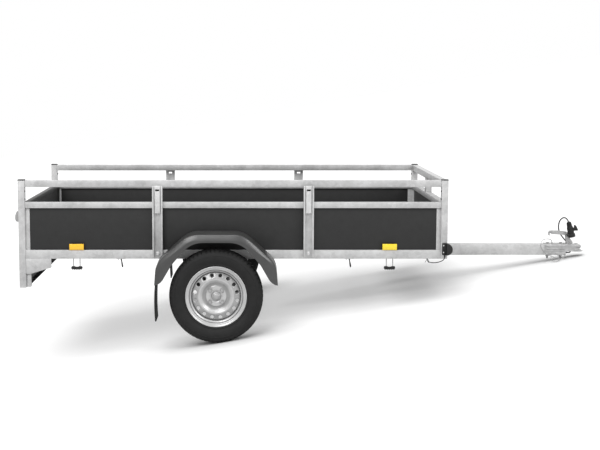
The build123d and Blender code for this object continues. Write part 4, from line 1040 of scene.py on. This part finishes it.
def build_coupling_bolts():
    """Two through-bolts with a head, a nut and a turned thread below it."""
    reach = DRAWBAR_LOW - BOLT_TIP
    count = int((reach - 16) / THREAD_PITCH)
    end = NUT_HEIGHT + count * THREAD_PITCH
    thread = [(0, NUT_HEIGHT)]
    for i in range(count):
        thread += [(5.2, NUT_HEIGHT + i * THREAD_PITCH), (6, NUT_HEIGHT + (i + 0.5) * THREAD_PITCH)]
    thread += [(5.2, end), (4.6, reach - 1), (3.4, reach), (0, reach)]
    nut = [(0, 0.02), (12.5, 0.02), (12.5, 1.6), (11, 1.8), (11, 11.6), (9.8, NUT_HEIGHT), (0, NUT_HEIGHT)]
    bm = bmesh.new()
    for x in BOLT_X:
        add_bolt(bm, (x, 0, 484.4), (0, 0, 1), 17, 4.6, 1.5)
        down = frame_at((x, 0, DRAWBAR_LOW), (0, 0, -1))
        add_turned(bm, nut, down, 6, 0.4)
        add_turned(bm, thread, down, 20)
        add_turned(bm, [(0, 409), (5.4, 409), (5.4, 480), (0, 480)], Matrix.Translation((x, 0, 0)), 16)
    new_piece("coupling_fasteners", bm, "zinc_plate", "coupling_bolts")


def build_handle():
    """The bent-sheet grip, its strut and lug, and the two pins."""
    half = HANDLE_HALF
    head = [(0, 0), (4.4, 0), (6.4, 1.2), (7, 3), (7, 4), (4.6, 4.2)]
    line = smooth_line(GRIP, 4)
    stations = []
    for i, (x, z, depth) in enumerate(line):
        ahead = tangent(line, i).to_2d().normalized()
        left = [(0, -depth), (0, -5), (1.2, -1.6), (4.4, 0), (7, -0.4), (8.6, -1.8)]
        section = [(y - half, h) for y, h in left] + [(half - y, h) for y, h in reversed(left)]
        stations.append([(x + ahead.y * h, y, z - ahead.x * h) for y, h in section])
    bm = bmesh.new()
    add_shell(bm, stations, 2.6)
    for side in SIDES:
        add_prism(bm, rounded(STRUT, 4, 3), upright(side, 8.6), 3, 0.7, 1)
    add_prism(bm, rounded(LUG, 3, 3), upright(1, -5), 10, 1)
    for x, z, reach in ((2318, 494, 16), (2299, 551, 15)):
        pin = head + [(r, 2 * reach - h) for r, h in reversed(head)]
        add_turned(bm, pin, frame_at((x, -reach, z), (0, 1, 0)), 20)
    new_piece("coupling_lever", bm, "zinc_plate", "coupling_handle", 38)


def build_plug_socket():
    """The dummy socket that holds the plug, and its arm to the coupling's strut."""
    bm = bmesh.new()
    rim = [(0, -6.6), (21.5, -6.6), (23.4, -5.4), (23.8, -3), (23.6, -0.3), (0, -0.3)]
    add_turned(bm, rim, plug_axes, 40)
    add_box(bm, (2297, -38, 532), (2311, -11.7, 540), 1.6)
    new_piece("plug_socket", bm, "moulded_black", "plug_seat")


build_coupling_head()
build_coupling_bolts()
build_handle()
build_plug_socket()
soften("drawbar_plug", 1, "moulded_black", "drawbar_end_plug")

# ---- lamps and reflectors ----

POST_SIDE = 700
MARKER = (1389, 539.5)
MARKER_RADIUS = 36.5
LENS_REACH = 0.72  # of the body's half circle
LENS_INNER = 26
BOARD_REAR = -1166
BOARD_MIDDLE = 392.5
LAMP_Y = 520
LAMP_HALF = (92.5, 50)
LAMP_SCREW = 100.825  # sideways from a unit's middle
REFLECTOR_X = (-850, 1050)
SILL_TOP = 532
RAIL_SIDE = 697
LAMP_BACK, LENS_FRONT, LENS_BACK = 16, 28, 14  # how far behind the board's face


def build_marker_lamps():
    """Front lamps on the posts: a plate, a half-round body and a clear lens round its front."""
    x, z = MARKER
    r = MARKER_RADIUS
    arc = [math.pi * (0.5 - i / 20) for i in range(21)]
    curve = [(x + u, z + v) for u, v in (polar(r, a) for a in arc)]
    plate = [(1367.6, z + r - 2), (1369.6, z + r)] + curve + [(1369.6, z - r), (1367.6, z - r + 2)]
    body = [(px + 2, pz) for px, pz in curve]
    lens = [(x + u, z + v) for u, v in (polar(r + 0.6, LENS_REACH * a) for a in reversed(arc))]
    lens += [(x + u, z + v) for u, v in (polar(LENS_INNER, LENS_REACH * a) for a in arc)]
    bm = bmesh.new()
    for side in SIDES:
        add_prism(bm, plate, upright(side, POST_SIDE), 7, 1.2)
        add_prism(bm, body, upright(side, POST_SIDE + 6.5), 31, 3.2, 3)
        painted(bm, 1, add_prism, lens, upright(side, POST_SIDE + 12), 19, 1.2)
    new_piece("marker_lamp_bodies", bm, ["moulded_black", "clear_lens"], "marker_lamps")


def build_rear_lamps():
    """Each unit's red, amber and clear lenses, with the red one outboard on both sides."""
    half_y, half_z = LAMP_HALF
    low, high = BOARD_MIDDLE - half_z, BOARD_MIDDLE + half_z
    edges = [-half_y + 3, -half_y + 62, half_y - 64, half_y - 3]
    bm = bmesh.new()
    for side in SIDES:
        y = side * LAMP_Y
        add_box(bm, (BOARD_REAR - LAMP_BACK, y - half_y, low), (BOARD_REAR, y + half_y, high), 4, 3)
        for k, finish in enumerate((2, 1, 3) if side < 0 else (3, 1, 2)):
            painted(bm, finish, add_box, (BOARD_REAR - LENS_FRONT, y + edges[k] + 0.8, low + 3),
                    (BOARD_REAR - LENS_BACK, y + edges[k + 1] - 0.8, high - 3), 4.5, 3)
    new_piece("rear_lamp_units", bm, ["moulded_black", "red_lens", "amber_lens", "clear_lens"],
              "rear_lamps")


def build_reflectors():
    """Amber at the rear and yellow at the front, each a plate with a raised lens."""
    bm = bmesh.new()
    for side in SIDES:
        for index, x in enumerate(REFLECTOR_X):
            for inset, low, high in ((0, 0, 4), (4, 3, 6)):
                ends = sorted((side * (RAIL_SIDE + low), side * (RAIL_SIDE + high)))
                painted(bm, index, add_box, (x - 44 + inset, ends[0], SILL_TOP + inset),
                        (x + 44 - inset, ends[1], SILL_TOP + 38 - inset), 1.2)
    new_piece("side_reflector_lenses", bm, ["amber_lens", "yellow_lens"],
              "side_reflectors")


build_marker_lamps()
build_rear_lamps()
build_reflectors()
soften("rear_reflectors", 2, "red_lens", "rear_triangles")
soften("post_caps", 1, "moulded_black", "post_cap_mouldings")

# ---- latches, lashing points, hooks ----

POST_Y = 680
SILL_LOW = 479
LATCH = [
    (-1203, 769), (-1208, 766), (-1215.5, 753), (-1219, 738), (-1219, 720), (-1214, 708), (-1206, 705)]
LATCH_CHEEK = [
    (-1203, 764), (-1206, 764), (-1214.5, 751), (-1217.5, 737), (-1217.5, 721), (-1212.5, 709),
    (-1203, 707)]
LOOP_X = (-854, 1054)
LOOP_Y = 665
HOOK_X = (-582, 807)
HOOK_Y = 677
HOOK_LEAN = math.radians(10)


def build_latches():
    """Over-centre levers on the rear posts: a back plate, two cheeks, a curved lever and its pin."""
    line = smooth_line([(x, 0, z) for x, z in LATCH], 4)
    section = [(-8, -1.2), (-7.4, 0.8), (-5, 1.8), (5, 1.8), (7.4, 0.8), (8, -1.2), (6, -1.8), (-6, -1.8)]
    bm = bmesh.new()
    for side in SIDES:
        y = side * POST_Y
        add_box(bm, (-1203, y - 11, 704), (-1200.02, y + 11, 771), 1)
        for across in (-9.6, 7.6):
            add_prism(bm, rounded(LATCH_CHEEK, 2, 2), upright(1, y + across), 2, 0.5, 1)
        lever = []
        for i, point in enumerate(line):
            ahead = tangent(line, i)
            out = Vector((-ahead.z, 0, ahead.x))
            if out.x > 0:
                out = -out
            lever.append([point + out * h + Vector((0, y + across, 0)) for across, h in section])
        add_ring_grid(bm, lever)
        for ring in (lever[0], lever[-1]):
            bm.faces.new([bm.verts.new(p) for p in ring])
        add_turned(bm, [(0, 0), (3.6, 0), (4.4, 1), (4.4, 25), (3.6, 26), (0, 26)],
                   frame_at((-1206, y - 13, 765), (0, 1, 0)), 16)
    bmesh.ops.remove_doubles(bm, verts=bm.verts, dist=0.001)
    new_piece("gate_latch_levers", bm, "zinc_plate", "gate_latches")


def build_lashing_loops():
    """Wire loops under the sills with a moulded grip, whose lower edge has finger waves."""
    bend = [(19.5, SILL_LOW + 4), (19.5, 432), (19, 423), (14, 418.5), (0, 417.5)]
    wire = [(-u, z) for u, z in bend[:-1]] + bend[::-1]
    waves = [(34 * (1 - i / 24), 408.2 + 2 * math.cos(5 * math.pi * i / 24) + 5 * abs(1 - i / 24) ** 6)
             for i in range(49)]
    top = [(-34, 424), (-30, 428.4), (-12, 428.4), (-9, 425.4)]
    grip = top + [(-u, z) for u, z in reversed(top)] + waves
    bm = bmesh.new()
    for side in SIDES:
        for x in LOOP_X:
            y = side * LOOP_Y
            add_rod(bm, smooth_line([(x + u, y, z) for u, z in wire], 4), 2.9, 12)
            painted(bm, 1, add_prism, [(x + u, z) for u, z in grip], upright(1, y - 7), 14, 1.6)
    new_piece("lashing_loops", bm, ["zinc_plate", "moulded_black"], "lashing_brackets")


def build_hooks():
    """Net hooks: a plate under the sill with a bolt, and a leaning finger with a moulded sleeve."""
    bm = bmesh.new()
    down = Vector((math.sin(HOOK_LEAN), 0, -math.cos(HOOK_LEAN)))
    finger = [(0, 4.2), (6, 4), (14, 3.4), (20, 3.6), (26, 4.5), (44, 4.9), (49, 4.2), (52, 2.6)]
    for side in SIDES:
        y = side * HOOK_Y
        for x in HOOK_X:
            top = Vector((x, y, SILL_LOW - 3))
            plate = rounded([(x - 28, -10), (x + 28, -10), (x + 28, 10), (x - 28, 10)], 7, 4)
            add_prism(bm, plate, lambda u, v, w: Vector((u, y + v, SILL_LOW - 0.02 - w)), 2.9, 0.6, 1)
            add_bolt(bm, top + Vector((-17, 0, 0)), (0, 0, -1), 9, 3.6, 1)
            painted(bm, 1, add_rod, [top + down * s for s, r in finger], [r for s, r in finger], 14)
    new_piece("net_hooks", bm, ["galvanised_bright", "moulded_black"], "rope_hooks")


build_latches()
build_lashing_loops()
build_hooks()

# ---- small fasteners, welds and ties ----

SIDE_POST_X = (-357, 557)
RAILS_REAR, RAILS_FRONT = -1160, 1360
BEAD_STEP = 2.5
RAIL_HEIGHTS = ((479, 532), (783, 823), (916, 956))
FLOOR_TOP = 532
SCREW_X = range(-1095, 1306, 400)
SCREW_Y = (-600, -200, 200, 600)
BUTTON_Y = 690
BUTTON_HEIGHTS = (890, 842)


def build_fasteners():
    """Bolts of the side posts, and screws of the marker lamps, the rear lamps and the plug's lug."""
    bm = bmesh.new()
    for side in SIDES:
        for x in SIDE_POST_X:
            add_bolt(bm, (x, side * POST_SIDE, 512), (0, side, 0), 17, 7, 1.6)
        for z in (-21, 21):
            add_dome(bm, (1376.5, side * (POST_SIDE + 7), MARKER[1] + z), (0, side, 0), 4.2, 2.2, 14)
        for y in (-LAMP_SCREW, LAMP_SCREW):
            for z in (-40, 40):
                add_dome(bm, (BOARD_REAR, side * LAMP_Y + y, BOARD_MIDDLE + z), (-1, 0, 0), 4, 2, 12)
    outward = plug_axes.to_3x3() @ Vector((-0.4, 1, 0))
    add_dome(bm, plug_axes @ Vector((-9, 21.5, 9)), outward, 4, 2.6, 14)
    new_piece("zinc_fasteners", bm, "galvanised_bright")


def build_floor_screws():
    bm = bmesh.new()
    screw = [(0, 0), (5.4, 0), (5.2, 0.8), (3, 1.6), (1.6, 1.7), (1.4, 0.9), (0, 0.9)]
    for x in SCREW_X:
        for y in SCREW_Y:
            add_turned(bm, screw, frame_at((x, y, FLOOR_TOP), (0, 0, 1)), 14)
    new_piece("floor_screws", bm, "zinc_plate")


def build_post_buttons():
    """The small domes on the posts' faces, between the middle and the top rails."""
    bm = bmesh.new()
    for side in SIDES:
        for x, towards in ((RAILS_REAR, 1), (RAILS_FRONT, -1)):
            for z in BUTTON_HEIGHTS:
                add_dome(bm, (x, side * BUTTON_Y, z), (towards, 0, 0), 6, 5, 14)
    new_piece("post_buttons", bm, "moulded_black")


def build_welds():
    """A beaded line up each rail's end, where it meets its post."""
    rng = random.Random(7)
    bm = bmesh.new()
    for side in SIDES:
        for x in (RAILS_REAR, RAILS_FRONT):
            for low, high in RAIL_HEIGHTS:
                length = high - low - 6
                steps = int(length / BEAD_STEP)
                places = range(steps + 1)
                line = [(x, side * (RAIL_SIDE + 0.2), low + 3 + length * i / steps) for i in places]
                add_rod(bm, line, [1.7 + 0.7 * (i % 2) + rng.uniform(-0.2, 0.2) for i in places], 8)
    new_piece("weld_beads", bm, "galvanised_dull")


def build_cable_fittings():
    """The leads' grommets and tie, then the ropes' ferrules."""
    bm = bmesh.new()
    add_turned(bm, [(4.3, -2), (9.5, -2), (9.5, 2), (8, 3), (6.2, 12), (5.4, 18), (4.3, 18), (4.3, -2)],
               frame_at(ELECTRIC_ROUTE[0], (1, 0, 0)), 20)
    add_turned(bm, [(2.7, -6), (6, -6), (6, 0), (4.4, 6), (3.4, 14), (2.7, 14), (2.7, -6)],
               frame_at(MARKER_ROUTE[0], (0, 0, -1)), 16)
    tie = [
        (1286, -644.5, 468), (1281.5, -644, 472), (1281.5, -636, 472), (1286, -635.5, 468),
        (1290.5, -636, 472), (1290.5, -644, 472)]
    add_rod(bm, smooth_line(tie, 3, closed=True) + [Vector(tie[0])], 1.1, 6)
    for tail in ([(1286, -645, 468), (1280, -650, 462), (1272, -653, 450)],
                 [(1290, -646, 470), (1295, -650, 460), (1293, -652, 448)]):
        add_rod(bm, smooth_line(tail, 4), 1.2, 6)
    new_piece("cable_fittings", bm, "moulded_black")

    bm = bmesh.new()
    ferrule = [
        (2.1, 0.02), (5.6, 0.02), (5.8, 2), (4.2, 3), (4, 11), (3.4, 12.4), (2.1, 12.4), (2.1, 0.02)]
    for start, towards in ((SAFETY_ROUTE[0], (0, 0, 1)), (SAFETY_ROUTE[-1], (0, -1, 0)),
                           (LOOP_ROUTE[0], (0, -1, 0)), (LOOP_ROUTE[-1], (0, -1, 0))):
        add_turned(bm, ferrule, frame_at(start, towards), 16)
    new_piece("rope_ferrules", bm, "zinc_plate")


build_fasteners()
build_floor_screws()
build_post_buttons()
build_welds()
build_cable_fittings()
